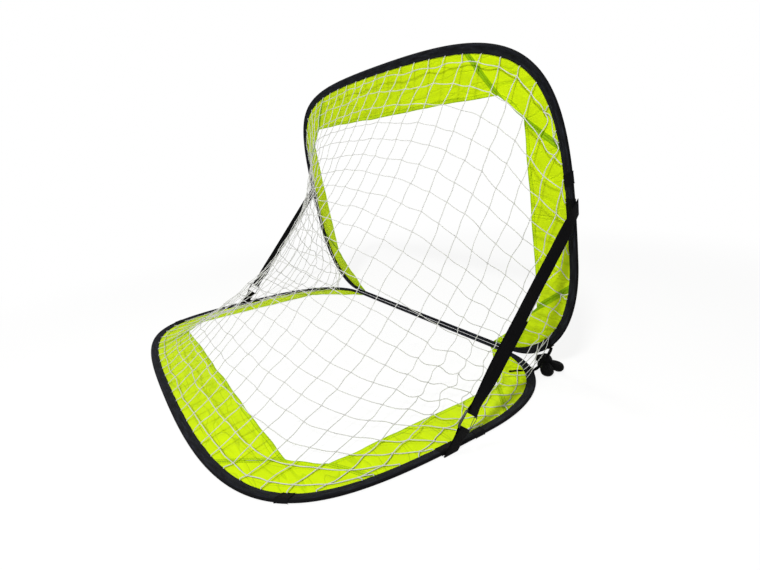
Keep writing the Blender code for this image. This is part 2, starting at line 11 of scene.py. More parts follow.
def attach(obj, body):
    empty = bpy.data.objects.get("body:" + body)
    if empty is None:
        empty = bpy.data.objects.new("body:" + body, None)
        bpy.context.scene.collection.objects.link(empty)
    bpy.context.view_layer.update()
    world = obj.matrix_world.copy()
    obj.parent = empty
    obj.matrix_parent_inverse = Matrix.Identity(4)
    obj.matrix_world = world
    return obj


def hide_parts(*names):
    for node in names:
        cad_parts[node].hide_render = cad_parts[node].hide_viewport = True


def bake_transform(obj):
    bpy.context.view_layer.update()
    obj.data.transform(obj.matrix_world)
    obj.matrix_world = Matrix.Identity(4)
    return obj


bl_info = {
    "name": "Pop-up soccer goal",
    "version": (1, 0, 0),
    "blender": (4, 5, 0),
    "location": "3D View > Sidebar > Goal",
    "description": "Builds the cloth, net and straps of a pop-up soccer goal on its measured frame",
    "category": "Object",
}

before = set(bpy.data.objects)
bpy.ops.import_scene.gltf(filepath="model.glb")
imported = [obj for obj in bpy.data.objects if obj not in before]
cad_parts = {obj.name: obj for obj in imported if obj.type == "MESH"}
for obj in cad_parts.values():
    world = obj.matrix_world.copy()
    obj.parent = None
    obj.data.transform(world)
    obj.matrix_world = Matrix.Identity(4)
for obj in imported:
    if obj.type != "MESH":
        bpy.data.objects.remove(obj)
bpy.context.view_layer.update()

GROUND, UPRIGHT = HOOPS = ("ground", "upright")
SIDES = ((1, "right"), (-1, "left"))
LENGTHS = {GROUND: 0.790, UPRIGHT: 0.762}
BANDS = {GROUND: 0.145, UPRIGHT: 0.134}

# Shape of a hoop's half outline, as two cubic curves that meet at its widest point
HALF_WIDTH = 0.600
HINGE_HALF = 0.387
WIDEST_SHARE = 0.37
HINGE_REACH = 0.544
LOW_REACH = 0.639
HIGH_REACH = 0.898
FAR_REACH = 0.929
FRAME_ANGLE = math.radians(82.0)
FRAME_COS, FRAME_SIN = math.cos(FRAME_ANGLE), math.sin(FRAME_ANGLE)

# Rod, folded tape and cloth, in metres
NOSE = 0.0040
BORE = 0.0032
TAPE = 0.0008
GAP = 0.0003
THICKNESS = 2 * NOSE
AXIS_HEIGHT = THICKNESS + GAP
BINDING_WIDTH = 0.021
BINDING_WIDTH_AT_HINGE = 0.012
BINDING_TAPER = 0.100
SLEEVE_RADIUS = 0.0033
TAPE_STEP = 0.006
EDGE_WANDER = 0.0007
PUCKER = 0.00025
OVER_WIDTH = 0.0004
TURNED_END = 0.0022
WRAP_START = math.radians(-148)
CLOTH = 0.0006
CLOTH_LOW = TAPE + GAP
CLOTH_INSET = NOSE + BORE + GAP
OPENING_HALF = 0.488
CORNER_CUT_X = 0.062
CORNER_CUT_Y = 0.055
OPENING_HINGE_HALF = 0.335
OPENING_LOW = 0.150
SEAM_FAR_X = 0.335
SEAM_SIDE_DROP = 0.258
SEAM_HINGE_Y = 0.228
SEAM_WIDTH = 0.0065
HEM_WIDTH = 0.0110
HEM_STEPS = np.array([0.0, 0.0012, 0.0035, 0.0075, 0.0105, 0.0125])
HELD_FLAT = 0.024
CLOTH_STEP = 0.0045
DOUBLED = 0.0004
HEM_WAVER = 0.0034
SWELL, FOLD, GATHER = 0.0022, 0.0016, 0.0022
SWELL_REACH, GATHER_REACH = 0.055, 0.045

# The net: columns of cord between the hoops, crossed and knotted by rows
NET_SIDE = 15
NET_ROWS = 22
TOP_COLUMN = 11
TOP_HEIGHTS = {GROUND: 0.645, UPRIGHT: 0.600}
SIDE_HEIGHTS = {GROUND: (0.566, 0.451, 0.343, 0.210), UPRIGHT: (0.527, 0.453, 0.335, 0.200)}
FIRST_ROWS = {12: 1, 13: 3, 14: 5, 15: 7}
ROW_HEIGHTS = {
    GROUND: (0.544, 0.492, 0.419, 0.385, 0.292, 0.241, 0.185, 0.134, 0.088, 0.055, 0.030),
    UPRIGHT: (0.550, 0.485, 0.407, 0.368, 0.297, 0.238, 0.187, 0.140, 0.100, 0.066, 0.040),
}
CORD_LENGTHS = {"column": 0.047, "column end": 0.033, "row": 0.053, "row end": 0.040}
CORD_PULLS = {"column": 1.0, "column end": 8.45, "row": 0.083, "row end": 0.518}
KNOT_CLEAR = 0.0058
CORD_CLEAR = 0.0030
SEWN_RISE = 0.0034
NET_WEIGHT = 0.00038
LEAST_STRETCH, STIFFENING = 0.15, 2.859
LASHINGS = ((0.024, 0.082), (0.034, 0.052), (0.050, 0.070), (0.066, 0.036))
DRAWN_IN = 0.032

# Straps, clips, cuffs and tie, in metres
STRAP_WIDTH = 0.025
STRAP_TAPE = 0.0016
STRAP_HEIGHT = 0.395
STRAP_STANDOFF = 0.0008
STRAP_FOLD_BACK = 0.200
STRAP_EASE = 0.018
STRAP_STEP = 0.007
WRAP_TAPE = 0.0010
WRAP_LENGTH = 0.040
CLIP_RISE = 0.062
CLIP_HALF_WIDTH = 0.0165
CLIP_HALF_LENGTH = 0.0170
CLIP_WIRE = 0.0020
CLIP_SPINE = 1.2
CLIP_CORNER = 0.004
GATE_HALF = 0.011
GATE_WIRE = 0.0006
GATE_PIVOT_INSET = 0.002
CUFF_LENGTH = 0.024
CUFF_FLARE, CUFF_SLANT = 0.0008, 0.35
CUFFS = ((GROUND, -1, 0.316), (GROUND, -1, 0.690), (GROUND, 1, 0.660), (UPRIGHT, -1, 0.453))
TIE_HEIGHTS = {GROUND: 0.036, UPRIGHT: 0.056}
TIE_WIDTH = 0.018
TIE_TAPE = 0.0014
TIE_FLARE = 0.0002
KNOT_FROM_HOOP = np.array((-0.0060, -0.0350, 0.0150))
KNOT_RADII = np.array((0.018, 0.016, 0.0165))
KNOT_CORD = 0.0094
LINK_RADIUS = 0.0038
BOWS = {"long": np.array((-0.040, -0.014, -0.007)), "short": np.array((-0.036, 0.034, -0.007))}
BOW_CORD = 0.0090
BOW_START = 0.012
BOW_TURN = 0.0060
SAG = 0.002
TAIL_RADIUS = 0.0022
TAIL_LENGTH = 0.034

# The floor, and the camera that took the view, found from the two hoops' outlines
FLOOR_HALF = 6.0
FLOOR_HEIGHT = -0.0004
CAMERA_PLACE = (-1.1335, 0.8603, 0.5307)
CAMERA_TURN = (1.28749, 0.07048, -2.15788)
CAMERA_LENS = 21.316

Outline = namedtuple("Outline", "along x y inward_x inward_y")
NetCord = namedtuple("NetCord", "kind column row first second")
Strap = namedtuple("Strap", "top foot down out across length")


# Surface tools

def linear(code):
    """An sRGB hex colour as linear red, green, blue and full alpha."""
    parts = [int(code[i:i + 2], 16) / 255 for i in (1, 3, 5)]
    return (*(c / 12.92 if c <= 0.04045 else ((c + 0.055) / 1.055) ** 2.4 for c in parts), 1.0)


def fill(tree, node, inputs):
    """Link or set a node's inputs; a node given as the value is its first output."""
    for name, value in inputs.items():
        value = value.outputs[0] if isinstance(value, bpy.types.Node) else value
        if isinstance(value, bpy.types.NodeSocket):
            tree.links.new(value, node.inputs[name])
        else:
            node.inputs[name].default_value = value


def add_node(tree, kind, *values, stops=(), inputs=(), **settings):
    """Add one node. Values fill its first inputs, capitalised settings the inputs that they name and the
    others its options, and stops lay out its colour ramp."""
    node = tree.nodes.new(f"ShaderNode{kind}")
    named = {}
    for name, value in settings.items():
        if name[0].isupper():
            named[name.replace("_", " ")] = value
        else:
            setattr(node, name, value)
    fill(tree, node, {**dict(enumerate(values)), **dict(inputs), **named})
    for _ in stops[2:]:
        node.color_ramp.elements.new(0.5)
    for element, stop in zip(node.color_ramp.elements if stops else (), stops):
        element.position, element.color = stop
    return node


def start_material(name, colour, roughness, gloss=0.5, ior=1.5, metallic=0.0):
    """A material with its nodes and its Principled shader, ready for its pattern."""
    material = bpy.data.materials.new(name)
    material.use_nodes = True
    material.diffuse_color = colour
    tree = material.node_tree
    shader = tree.nodes["Principled BSDF"]
    fill(tree, shader, {"Base Color": colour, "Roughness": roughness, "Metallic": metallic})
    if not metallic:
        fill(tree, shader, {"IOR": ior, "Specular IOR Level": gloss})
    return material, tree, shader


def shared(finish):
    """The material of a finish, made the first time that it is asked for."""
    name = FINISHES[finish][0]
    return bpy.data.materials.get(name) or finish(name)


def woven_bump(tree, cloth, across_mm, along_mm, strength, height):
    """Bump from threads that cross at the given spacings, on cloth coordinates in metres."""
    size = add_node(tree, "VectorMath", cloth, (1000 / across_mm, 1000 / along_mm, 1.0), operation="MULTIPLY")
    parts = add_node(tree, "SeparateXYZ", size)
    waves = []
    for axis in "XY":
        turn = add_node(tree, "Math", parts.outputs[axis], 2 * math.pi, operation="MULTIPLY")
        waves.append(add_node(tree, "Math", turn, operation="SINE"))
    weave = add_node(tree, "Math", *waves, operation="MULTIPLY")
    return add_node(tree, "Bump", Height=weave, Strength=strength, Distance=height)


def mask_between(tree, value, low, high):
    """1 where a value lies between two limits, otherwise 0."""
    above = add_node(tree, "Math", value, low, operation="GREATER_THAN")
    below = add_node(tree, "Math", value, high, operation="LESS_THAN")
    return add_node(tree, "Math", above, below, operation="MULTIPLY")


def stitch_mask(tree, rows):
    """1 on rows of stitches, given as (along, across, place across): 3.2 mm stitches every 4.5 mm."""
    stitched = 0.0
    for along, across, at in rows:
        row = mask_between(tree, across, at - 0.0007, at + 0.0007)
        step = add_node(tree, "Math", along, 0.0045, operation="FLOORED_MODULO")
        dash = add_node(tree, "Math", step, 0.0032, operation="LESS_THAN")
        dashes = add_node(tree, "Math", row, dash, operation="MULTIPLY")
        stitched = add_node(tree, "Math", stitched, dashes, operation="MAXIMUM")
    return stitched


def seen_white(tree):
    """1 for the rays of cameras, mirrors and glass, which see the studio as white."""
    path = add_node(tree, "LightPath")
    seen = path.outputs["Is Camera Ray"]
    for name in ("Is Glossy Ray", "Is Transmission Ray"):
        seen = add_node(tree, "Math", seen, path.outputs[name], operation="MAXIMUM")
    return seen


# Shapes

def unit(v):
    """Vectors of length 1."""
    v = np.asarray(v, float)
    return v / np.maximum(np.linalg.norm(v, axis=-1, keepdims=True), 1e-12)


def ease(share):
    """Smooth step from 0 to 1."""
    return share * share * (3 - 2 * share)


def lengths_along(points):
    """Distance along a line of points."""
    return np.concatenate([[0.0], np.cumsum(np.linalg.norm(np.diff(points, axis=0), axis=1))])


def lengths_round(section):
    """Distance round a closed section, back to its first point."""
    return lengths_along(np.vstack([section, section[:1]]))


def ripple(size, seed, x, y=0.0, z=0.0):
    """Soft noise from -1 to 1 at places, with swells of the given size in metres."""
    shift = Vector((seed * 7.31, seed * 3.17, seed * 1.73))
    places = np.stack(np.broadcast_arrays(x, y, z), -1)
    heights = [noise.noise(Vector(place) / size + shift) for place in places.reshape(-1, 3)]
    return np.array(heights).reshape(places.shape[:-1])


def smooth_path(points, steps):
    """A smooth line through points, with even parameter steps between them."""
    p = np.asarray(points, float)
    p = np.vstack([2 * p[0] - p[1], p, 2 * p[-1] - p[-2]])
    t = np.linspace(0, 1, steps, endpoint=False)[:, None]
    line = []
    for a, b, c, d in zip(p, p[1:], p[2:], p[3:]):
        square, cube = 2 * a - 5 * b + 4 * c - d, 3 * b - a - 3 * c + d
        line.append(0.5 * (2 * b + (c - a) * t + square * t**2 + cube * t**3))
    return np.vstack([*line, p[-2]])


class Shape:
    """Points, faces and surface coordinates that are gathered into one mesh."""

    def __init__(self):
        self.points, self.faces, self.coords, self.count = [], [], [], 0

    def grid(self, rings, along, across):
        """Skin closed rings of points; along and across are the surface coordinates in metres."""
        rings = np.asarray(rings, float)
        rows, columns = rings.shape[:2]
        base = self.count
        self.points.append(rings.reshape(-1, 3))
        self.count += rows * columns
        for i in range(rows - 1):
            first, second = base + i * columns, base + (i + 1) * columns
            for j in range(columns):
                k = (j + 1) % columns
                self.faces.append((first + j, first + k, second + k, second + j))
                for side, end in ((0, 0), (1, 0), (1, 1), (0, 1)):
                    self.coords.append((across[j + side], along[i + end]))
        for row, order in ((0, -1), (rows - 1, 1)):
            start = base + row * columns
            self.faces.append(tuple(range(start, start + columns))[::order])
            self.coords += [(across[j], along[row]) for j in range(columns)][::order]
        return self

    def tube(self, points, radius, sides=6, hint=(0.0, 0.0, 1.0)):
        """A round cord through points; its radius may change, and its sides turn as little as they can."""
        points = np.asarray(points, float)
        along = unit(np.gradient(points, axis=0))
        side = np.cross(along[0], hint)
        if np.linalg.norm(side) < 1e-4:
            side = np.cross(along[0], np.roll(hint, -1))
        aside = []
        for a in along:
            side = unit(side)
            side = unit(side - a * np.dot(side, a))
            aside.append(side)
        up = np.cross(along, aside)
        radius = np.broadcast_to(np.asarray(radius, float), (len(points),))
        turn = np.arange(sides) * 2 * math.pi / sides
        cos, sin = np.cos(turn)[None, :, None], np.sin(turn)[None, :, None]
        ring = cos * np.array(aside)[:, None] + sin * up[:, None]
        across = np.arange(sides + 1) / sides * 2 * math.pi * float(np.mean(radius))
        return self.grid(points[:, None] + ring * radius[:, None, None], lengths_along(points), across)

    def mesh(self, name, sharp):
        """The gathered mesh, facing outwards, smooth but for edges of more than so many degrees."""
        mesh = bpy.data.meshes.new(name)
        points = np.concatenate(self.points)
        mesh.from_pydata([tuple(p) for p in points], [], self.faces)
        layer = mesh.uv_layers.new(name="cloth")
        layer.data.foreach_set("uv", np.array(self.coords, np.float32).ravel())
        mesh.validate()
        whole = np.array([f[:3] for f in self.faces]
                         + [(f[0], f[2], f[3]) for f in self.faces if len(f) == 4])
        a, b, c = (points[whole[:, i]] - points.mean(axis=0) for i in range(3))
        if np.einsum("ij,ij->i", a, np.cross(b, c)).sum() < 0:
            mesh.flip_normals()
        mesh.shade_smooth()
        if sharp:
            mesh.set_sharp_from_angle(angle=math.radians(sharp))
        return mesh


def new_piece(name, node, shape, finish, body=None, sharp=None):
    """Link a piece that replaces a CAD node, in its finish; given a body, it rides on that body."""
    mesh = shape.mesh(name, sharp)
    mesh.materials.append(shared(finish))
    piece = bpy.data.objects.new(name, mesh)
    bpy.context.scene.collection.objects.link(piece)
    FINISHES[finish][1]
    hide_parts(node)
    if body:
        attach(piece, body)
    return piece


# The hoops

def trace_outline(length):
    """The outer edge of a hoop from the right end of its hinge round to the left end."""
    widest = WIDEST_SHARE * length
    side = (HALF_WIDTH, widest)
    low = [(HINGE_HALF, 0.0), (HINGE_HALF + HINGE_REACH * (HALF_WIDTH - HINGE_HALF), 0.0),
           (HALF_WIDTH, widest * (1 - LOW_REACH)), side]
    high = [side, (HALF_WIDTH, widest + HIGH_REACH * (length - widest)), (FAR_REACH * HALF_WIDTH, length),
            (0.0, length)]
    t = np.linspace(0, 1, 700)[:, None]
    low, high = ((1 - t)**3 * a + 3 * (1 - t)**2 * t * b + 3 * (1 - t) * t * t * c + t**3 * d
                 for a, b, c, d in (np.array(low), np.array(high)))
    half = np.vstack([low, high[1:]])
    whole = np.vstack([half, (half * (-1, 1))[::-1][1:]])
    slope = unit(np.gradient(whole, axis=0))
    return Outline(lengths_along(whole), whole[:, 0], whole[:, 1], -slope[:, 1], slope[:, 0])


OUTLINES = {name: trace_outline(length) for name, length in LENGTHS.items()}


def in_world(hoop, x, y, rise):
    """Points of a hoop's plane, raised from its flat side towards the net, in the frame."""
    x, y, rise = np.broadcast_arrays(x, y, rise)
    if hoop == GROUND:
        return np.stack([x, y, rise], -1)
    z = THICKNESS - rise
    return np.stack([x, y * FRAME_COS - z * FRAME_SIN, AXIS_HEIGHT + y * FRAME_SIN + z * FRAME_COS], -1)


def beside(hoop, along, inset):
    """Flat x and y at a length along the outline and a distance in from it."""
    o = OUTLINES[hoop]
    x, y, inward_x, inward_y = (np.interp(along, o.along, values) for values in o[1:])
    return x + inward_x * inset, y + inward_y * inset


def on_hoop(hoop, along, section):
    """A section of (inset, rise) steps set square to a hoop at a length along its outline."""
    return in_world(hoop, *beside(hoop, along, section[:, 0]), section[:, 1])


def along_at(hoop, height, sign):
    """Length along the outline to where one side passes a height."""
    o = OUTLINES[hoop]
    half = len(o.along) // 2 + 1
    along = float(np.interp(height, o.y[:half], o.along[:half]))
    return along if sign > 0 else float(o.along[-1]) - along


def leg_width(hoop, along):
    """Width of the binding, which narrows towards both ends of the hinge."""
    total = OUTLINES[hoop].along[-1]
    share = np.clip(np.minimum(along, total - along) / BINDING_TAPER, 0, 1)
    return BINDING_WIDTH_AT_HINGE + (BINDING_WIDTH - BINDING_WIDTH_AT_HINGE) * ease(share)


def round_rod(radius, angles):
    """Steps of (inset, rise) round the rod."""
    return [(NOSE + radius * math.cos(a), NOSE + radius * math.sin(a)) for a in angles]


def tape_profile(width, lift=0.0, start=None):
    """Outer line of a tape over the rod, from the flat side's edge round to the net side's edge."""
    top = CLOTH_LOW + CLOTH + GAP + TAPE + lift
    radius = NOSE + lift
    reach = math.hypot(width - NOSE, top - NOSE)
    touch = math.atan2(top - NOSE, width - NOSE) + math.acos(radius / reach) - 2 * math.pi
    nose = round_rod(radius, np.linspace(-math.pi / 2 if start is None else start, touch, 12))
    leg = [np.add(nose[-1], np.subtract((width, top), nose[-1]) * s) for s in (0.25, 0.5, 0.75, 0.92, 1.0)]
    flat = [(NOSE + (width - NOSE) * s, -lift) for s in (1.0, 0.92, 0.7, 0.4, 0.15)] if start is None else []
    return np.array([*flat, *nose, *leg])


def thick_profile(line, thickness):
    """A closed section from an open line and its thickness, laid on the side of the rod."""
    slope = unit(np.gradient(line, axis=0))
    inner = line + np.column_stack([slope[:, 1], -slope[:, 0]]) * thickness
    return np.vstack([line, inner[::-1]])


# Finishes

def coated_polyester(name):
    """Coated polyester taffeta: thin, bright and faintly satin, with painted shade where it is sewn double
    and in its creases, and painted highlight on its swells.
    """
    colour = tuple(bpy.context.scene.goal_colours.cloth)
    material, tree, shader = start_material(name, colour, 0.5, gloss=0.06)
    cloth, hem, seam, light = (add_node(tree, "UVMap", uv_map=layer)
                               for layer in ("cloth", "hem", "seam", "light"))
    # Taffeta threads lie 0.3 mm apart, drawn every 1.4 mm so that they show
    fine = woven_bump(tree, cloth, 1.4, 1.4, 0.10, 0.0002)
    # Soft swells 60 to 150 mm long, which the cloth keeps from its folded pack
    spread = add_node(tree, "Mapping", cloth, Scale=(7.0, 16.0, 1.0))
    swells = add_node(tree, "TexNoise", spread, Scale=1.0, Detail=2.0, Distortion=0.6)
    broad = add_node(tree, "Bump", Height=swells, Strength=0.6, Distance=0.010, Normal=fine)
    # Painted highlight: the crests of the swells are painted a lighter lime
    swell_highlight = add_node(tree, "ValToRGB", swells,
                        stops=[(0.36, (0.0, 0.0, 0.0, 1.0)), (0.72, (0.5, 0.5, 0.5, 1.0))])
    # Sharp creases 30 to 120 mm long that run askew across the band, with painted shade along their lines
    slanted = add_node(tree, "Mapping", cloth, Rotation=(0.0, 0.0, 0.7), Scale=(7.0, 30.0, 1.0))
    lines = add_node(tree, "TexNoise", slanted, Scale=1.0, Detail=1.0, Roughness=0.4, Distortion=0.7)
    ridge = add_node(tree, "Math", lines, 0.5, operation="SUBTRACT")
    ridge = add_node(tree, "Math", ridge, operation="ABSOLUTE")
    crease = add_node(tree, "MapRange", ridge, From_Max=0.030)
    sharp = add_node(tree, "Bump", Height=crease, Strength=0.5, Distance=0.0014, Normal=broad)
    tone = add_node(tree, "ValToRGB", crease, stops=[(0.0, linear("#A3C002")), (0.6, colour)])
    # Two more layers of cloth under a felled seam or a hem let less light through, so the cloth there is
    # painted darker as shade, most of all upright
    hem, seam, through = (add_node(tree, "SeparateXYZ", layer) for layer in (hem, seam, light))
    doubled = mask_between(tree, seam.outputs["Y"], -1.0, SEAM_WIDTH)
    doubled = add_node(tree, "Math", doubled, through, operation="MULTIPLY")
    hemmed = mask_between(tree, hem.outputs["Y"], -1.0, HEM_WIDTH)
    hemmed = add_node(tree, "Math", hemmed, 0.30, operation="MULTIPLY")
    rows = ((hem, 0.0095), (hem, 0.0020), (seam, 0.0052), (seam, 0.0014))
    stitched = stitch_mask(tree, [(edge, edge.outputs["Y"], at) for edge, at in rows])
    # Lay on the painted highlight of the swells, the painted shade of the seams and hems, and the stitches
    for mask, over in ((swell_highlight, linear("#C6E00A")), (doubled, tuple(bpy.context.scene.goal_colours.seam)),
                       (hemmed, linear("#9CC400")), (stitched, linear("#7FA100"))):
        tone = add_node(tree, "Mix", mask, inputs={6: tone, 7: over}, data_type="RGBA").outputs[2]
    dented = add_node(tree, "Bump", Height=stitched, Strength=0.5, Distance=0.0005, Normal=sharp, invert=True)
    fill(tree, shader, {"Base Color": tone, "Normal": dented})
    return material


def grosgrain_tape(name):
    """Grosgrain binding tape: black with cross ribs, a dusty bloom on top and two stitch rows."""
    colour = tuple(bpy.context.scene.goal_colours.tape)
    material, tree, shader = start_material(name, colour, 0.74, gloss=0.06)
    cloth = add_node(tree, "UVMap", uv_map="cloth")
    # Ribs lie 0.8 mm apart, drawn every 1.8 mm so that they show
    fine = woven_bump(tree, cloth, 3.6, 1.8, 0.35, 0.0004)
    wear = add_node(tree, "Mapping", cloth, Scale=(160.0, 26.0, 1.0))
    patches = add_node(tree, "TexNoise", wear, Scale=1.0, Detail=6.0, Roughness=0.6)
    tone = add_node(tree, "ValToRGB", patches,
                    stops=[(0.34, linear("#08080B")), (0.52, colour), (0.74, linear("#23262E"))])
    # The fold over the rod stays as black as new; dust greys only the flat faces
    across, along = add_node(tree, "SeparateXYZ", cloth).outputs[:2]
    fold = mask_between(tree, across, 0.0165, 0.0275)
    stitched = stitch_mask(tree, [(along, across, at) for at in (0.0030, 0.0436)])
    for mask, over in ((fold, linear("#070709")), (stitched, linear("#202226"))):
        tone = add_node(tree, "Mix", mask, inputs={6: tone, 7: over}, data_type="RGBA").outputs[2]
    dented = add_node(tree, "Bump", Height=stitched, Strength=0.6, Distance=0.0006, Normal=fine)
    fill(tree, shader, {"Base Color": tone, "Normal": dented})
    return material


def polypropylene_webbing(name):
    """Polypropylene webbing: dense black with a herringbone rib and a slight waxy gleam."""
    colour = tuple(bpy.context.scene.goal_colours.webbing)
    material, tree, shader = start_material(name, colour, 0.6, gloss=0.04, ior=1.49)
    cloth = add_node(tree, "UVMap", uv_map="cloth")
    # Yarns lie 1.6 mm apart across the webbing and 2.2 mm along it
    fine = woven_bump(tree, cloth, 3.2, 2.2, 0.6, 0.0006)
    fuzz = add_node(tree, "TexNoise", cloth, Scale=420.0, Detail=4.0)
    tone = add_node(tree, "ValToRGB", fuzz,
                    stops=[(0.36, linear("#030303")), (0.55, colour), (0.78, linear("#0C0C0E"))])
    rough = add_node(tree, "MapRange", fuzz, To_Min=0.45, To_Max=0.72)
    fill(tree, shader, {"Base Color": tone, "Roughness": rough, "Normal": fine})
    return material


def twisted_net_cord(name):
    """Twisted polyester net cord: white and matt; its grey colour is painted shade, and its spiral lay is
    painted with shade in the grooves and highlight on the crowns.
    """
    colour = tuple(bpy.context.scene.goal_colours.net)
    material, tree, shader = start_material(name, colour, 0.7, gloss=0.1)
    across, along = add_node(tree, "SeparateXYZ", add_node(tree, "UVMap", uv_map="cloth")).outputs[:2]
    # Three plies that go round the cord once in 9 mm
    turn = add_node(tree, "Math", along, 2 * math.pi * 3 / 0.009, operation="MULTIPLY")
    turn = add_node(tree, "Math", across, 3 / 0.0015, turn, operation="MULTIPLY_ADD")
    lay = add_node(tree, "Math", turn, operation="SINE")
    share = add_node(tree, "MapRange", lay, From_Min=-1.0)
    # Painted shade in the grooves between the plies, painted highlight on their crowns
    tone = add_node(tree, "ValToRGB", share,
                    stops=[(0.0, linear("#B4B4B1")), (0.45, colour), (1.0, linear("#C9C9C6"))])
    bump = add_node(tree, "Bump", Height=lay, Strength=0.2, Distance=0.0002)
    fill(tree, shader, {"Base Color": tone, "Normal": bump})
    return material


def coated_steel_wire(name):
    """Black electro-coated steel wire: smooth, semi-gloss, rubbed a little brighter in use."""
    material, tree, shader = start_material(name, linear("#121214"), 0.32, gloss=0.4)
    place = add_node(tree, "TexCoord").outputs["Object"]
    rub = add_node(tree, "TexNoise", place, Scale=260.0, Detail=5.0)
    tone = add_node(tree, "ValToRGB", rub,
                    stops=[(0.40, linear("#101012")), (0.66, linear("#1B1B1E")), (0.80, linear("#4A4A4E"))])
    rough = add_node(tree, "MapRange", rub, To_Min=0.20, To_Max=0.42)
    fill(tree, shader, {"Base Color": tone, "Roughness": rough})
    return material


def pultruded_glass_fibre(name):
    """Pultruded glass-fibre rod: grey resin with fine strands along it."""
    material, tree, shader = start_material(name, linear("#8E908C"), 0.42, ior=1.52)
    place = add_node(tree, "TexCoord").outputs["Object"]
    strands = add_node(tree, "TexNoise", place, Scale=900.0, Detail=3.0)
    tone = add_node(tree, "ValToRGB", strands, stops=[(0.35, linear("#7E807B")), (0.70, linear("#A5A7A2"))])
    fill(tree, shader, {"Base Color": tone})
    return material


def drawn_aluminium(name):
    """Drawn aluminium tube: plain bright metal with faint draw lines."""
    material, tree, shader = start_material(name, linear("#C9CBCD"), 0.30, metallic=1.0)
    place = add_node(tree, "TexCoord").outputs["Object"]
    drawn = add_node(tree, "Mapping", place, Scale=(20.0, 1500.0, 1500.0))
    lines = add_node(tree, "TexNoise", drawn, Scale=1.0, Detail=2.0)
    fill(tree, shader, {"Roughness": add_node(tree, "MapRange", lines, To_Min=0.22, To_Max=0.40)})
    return material


# The name of each finish's material and its slot in the record
FINISHES = {
    coated_polyester: ("coated polyester taffeta", "lime_fabric"),
    grosgrain_tape: ("grosgrain binding tape", "black_tape"),
    polypropylene_webbing: ("polypropylene webbing", "black_webbing"),
    twisted_net_cord: ("twisted polyester net cord", "white_net"),
    coated_steel_wire: ("electro-coated steel wire", "black_wire"),
    pultruded_glass_fibre: ("pultruded glass fibre", "rod"),
    drawn_aluminium: ("drawn aluminium tube", "ferrule"),
}


# Hoop pieces

def build_binding(hoop):
    """The tape that is folded over the rod and sewn down on both faces of the cloth."""
    total = OUTLINES[hoop].along[-1]
    along = np.linspace(0.0, total, int(total / TAPE_STEP))
    place = beside(hoop, along, 0.0)
    rings = []
    for s, edge, swell in zip(along, ripple(0.022, 3, *place), ripple(0.060, 5, *place)):
        line = tape_profile(float(leg_width(hoop, s)) + EDGE_WANDER * edge)
        legs = np.clip((line[:, 0] - NOSE) / (BINDING_WIDTH - NOSE), 0, 1) * (line[:, 1] > NOSE / 2)
        line[:, 1] += legs * (0.0002 + 0.0002 * edge) + (line[:, 1] > NOSE) * PUCKER * swell
        rings.append(on_hoop(hoop, s, thick_profile(line, TAPE)))
    section = thick_profile(tape_profile(BINDING_WIDTH), TAPE)
    around = lengths_round(section)
    half = len(section) // 2
    around[half:] = around[half - 1] - (around[half:] - around[half])
    new_piece(f"{hoop}_binding_tape", f"{hoop}_binding", Shape().grid(rings, along, around), grosgrain_tape,
              f"{hoop}_frame", 60)


def build_over_tape(node, hoop, sign, height, length, thickness, finish, flare=0.0, slant=0.0):
    """A second layer of tape over the binding, with its ends turned under and cut askew by slant."""
    middle = along_at(hoop, height, sign)
    width = float(leg_width(hoop, middle)) + OVER_WIDTH
    along = middle + np.linspace(-0.5, 0.5, max(int(length / 0.002), 8)) * length
    rings = []
    for s in along:
        near_end = 1 - np.clip(min(s - along[0], along[-1] - s) / TURNED_END, 0, 1)
        line = tape_profile(width, GAP + thickness + flare * near_end, WRAP_START)
        section = thick_profile(line, thickness * (1 - 0.5 * near_end))
        rings.append(on_hoop(hoop, s + slant * (section[:, 0] - width / 2), section))
    around = lengths_round(thick_profile(tape_profile(width, GAP + thickness, WRAP_START), thickness))
    if finish is grosgrain_tape:
        # A cuff has no dusty face, so all of it is coloured like the tape's fold
        around = 0.0170 + 0.0100 * around / around[-1]
    # The piece is called after its node and the last word of its material
    kind = FINISHES[finish][0].split()[-1]
    new_piece(f"{node}_{kind}", node, Shape().grid(rings, along, around), finish, f"{hoop}_frame", 50)


def build_sleeve(hoop):
    """The sewn sleeve along the goal line, pinched where the hoops meet; the ground one keeps a flap."""
    profile = round_rod(SLEEVE_RADIUS, np.linspace(-math.pi / 2, 0.58 * math.pi, 14))
    profile += [(0.0010, THICKNESS - 0.0001), (0.0002, THICKNESS - 0.0002), (0.0011, 0.0063)]
    if hoop == GROUND:
        profile += [(0.0002, TAPE * 1.4), (-0.0025, TAPE), (-0.0045, TAPE), (-0.005, 0.0), (-0.0025, 0.0)]
        profile += [(0.0, 0.0), (NOSE * 0.6, 0.0003)]
    else:
        profile += round_rod(SLEEVE_RADIUS, np.linspace(0.95 * math.pi, 1.42 * math.pi, 6))
    profile = np.array(profile)
    x = np.linspace(-(HINGE_HALF - GAP), HINGE_HALF - GAP, 260)
    pucker = ripple(0.016, 11, x)
    on_rod = (profile[:, 0] > 0.0015) & (profile[:, 1] > THICKNESS / 2)
    rings = [in_world(hoop, place, profile[:, 0], profile[:, 1] + on_rod * PUCKER * (p - 1))
             for place, p in zip(x, pucker)]
    shape = Shape().grid(rings, x - x[0], lengths_round(profile))
    new_piece(f"{hoop}_hinge_tape", f"{hoop}_hinge_sleeve", shape, grosgrain_tape, f"{hoop}_frame", 50)


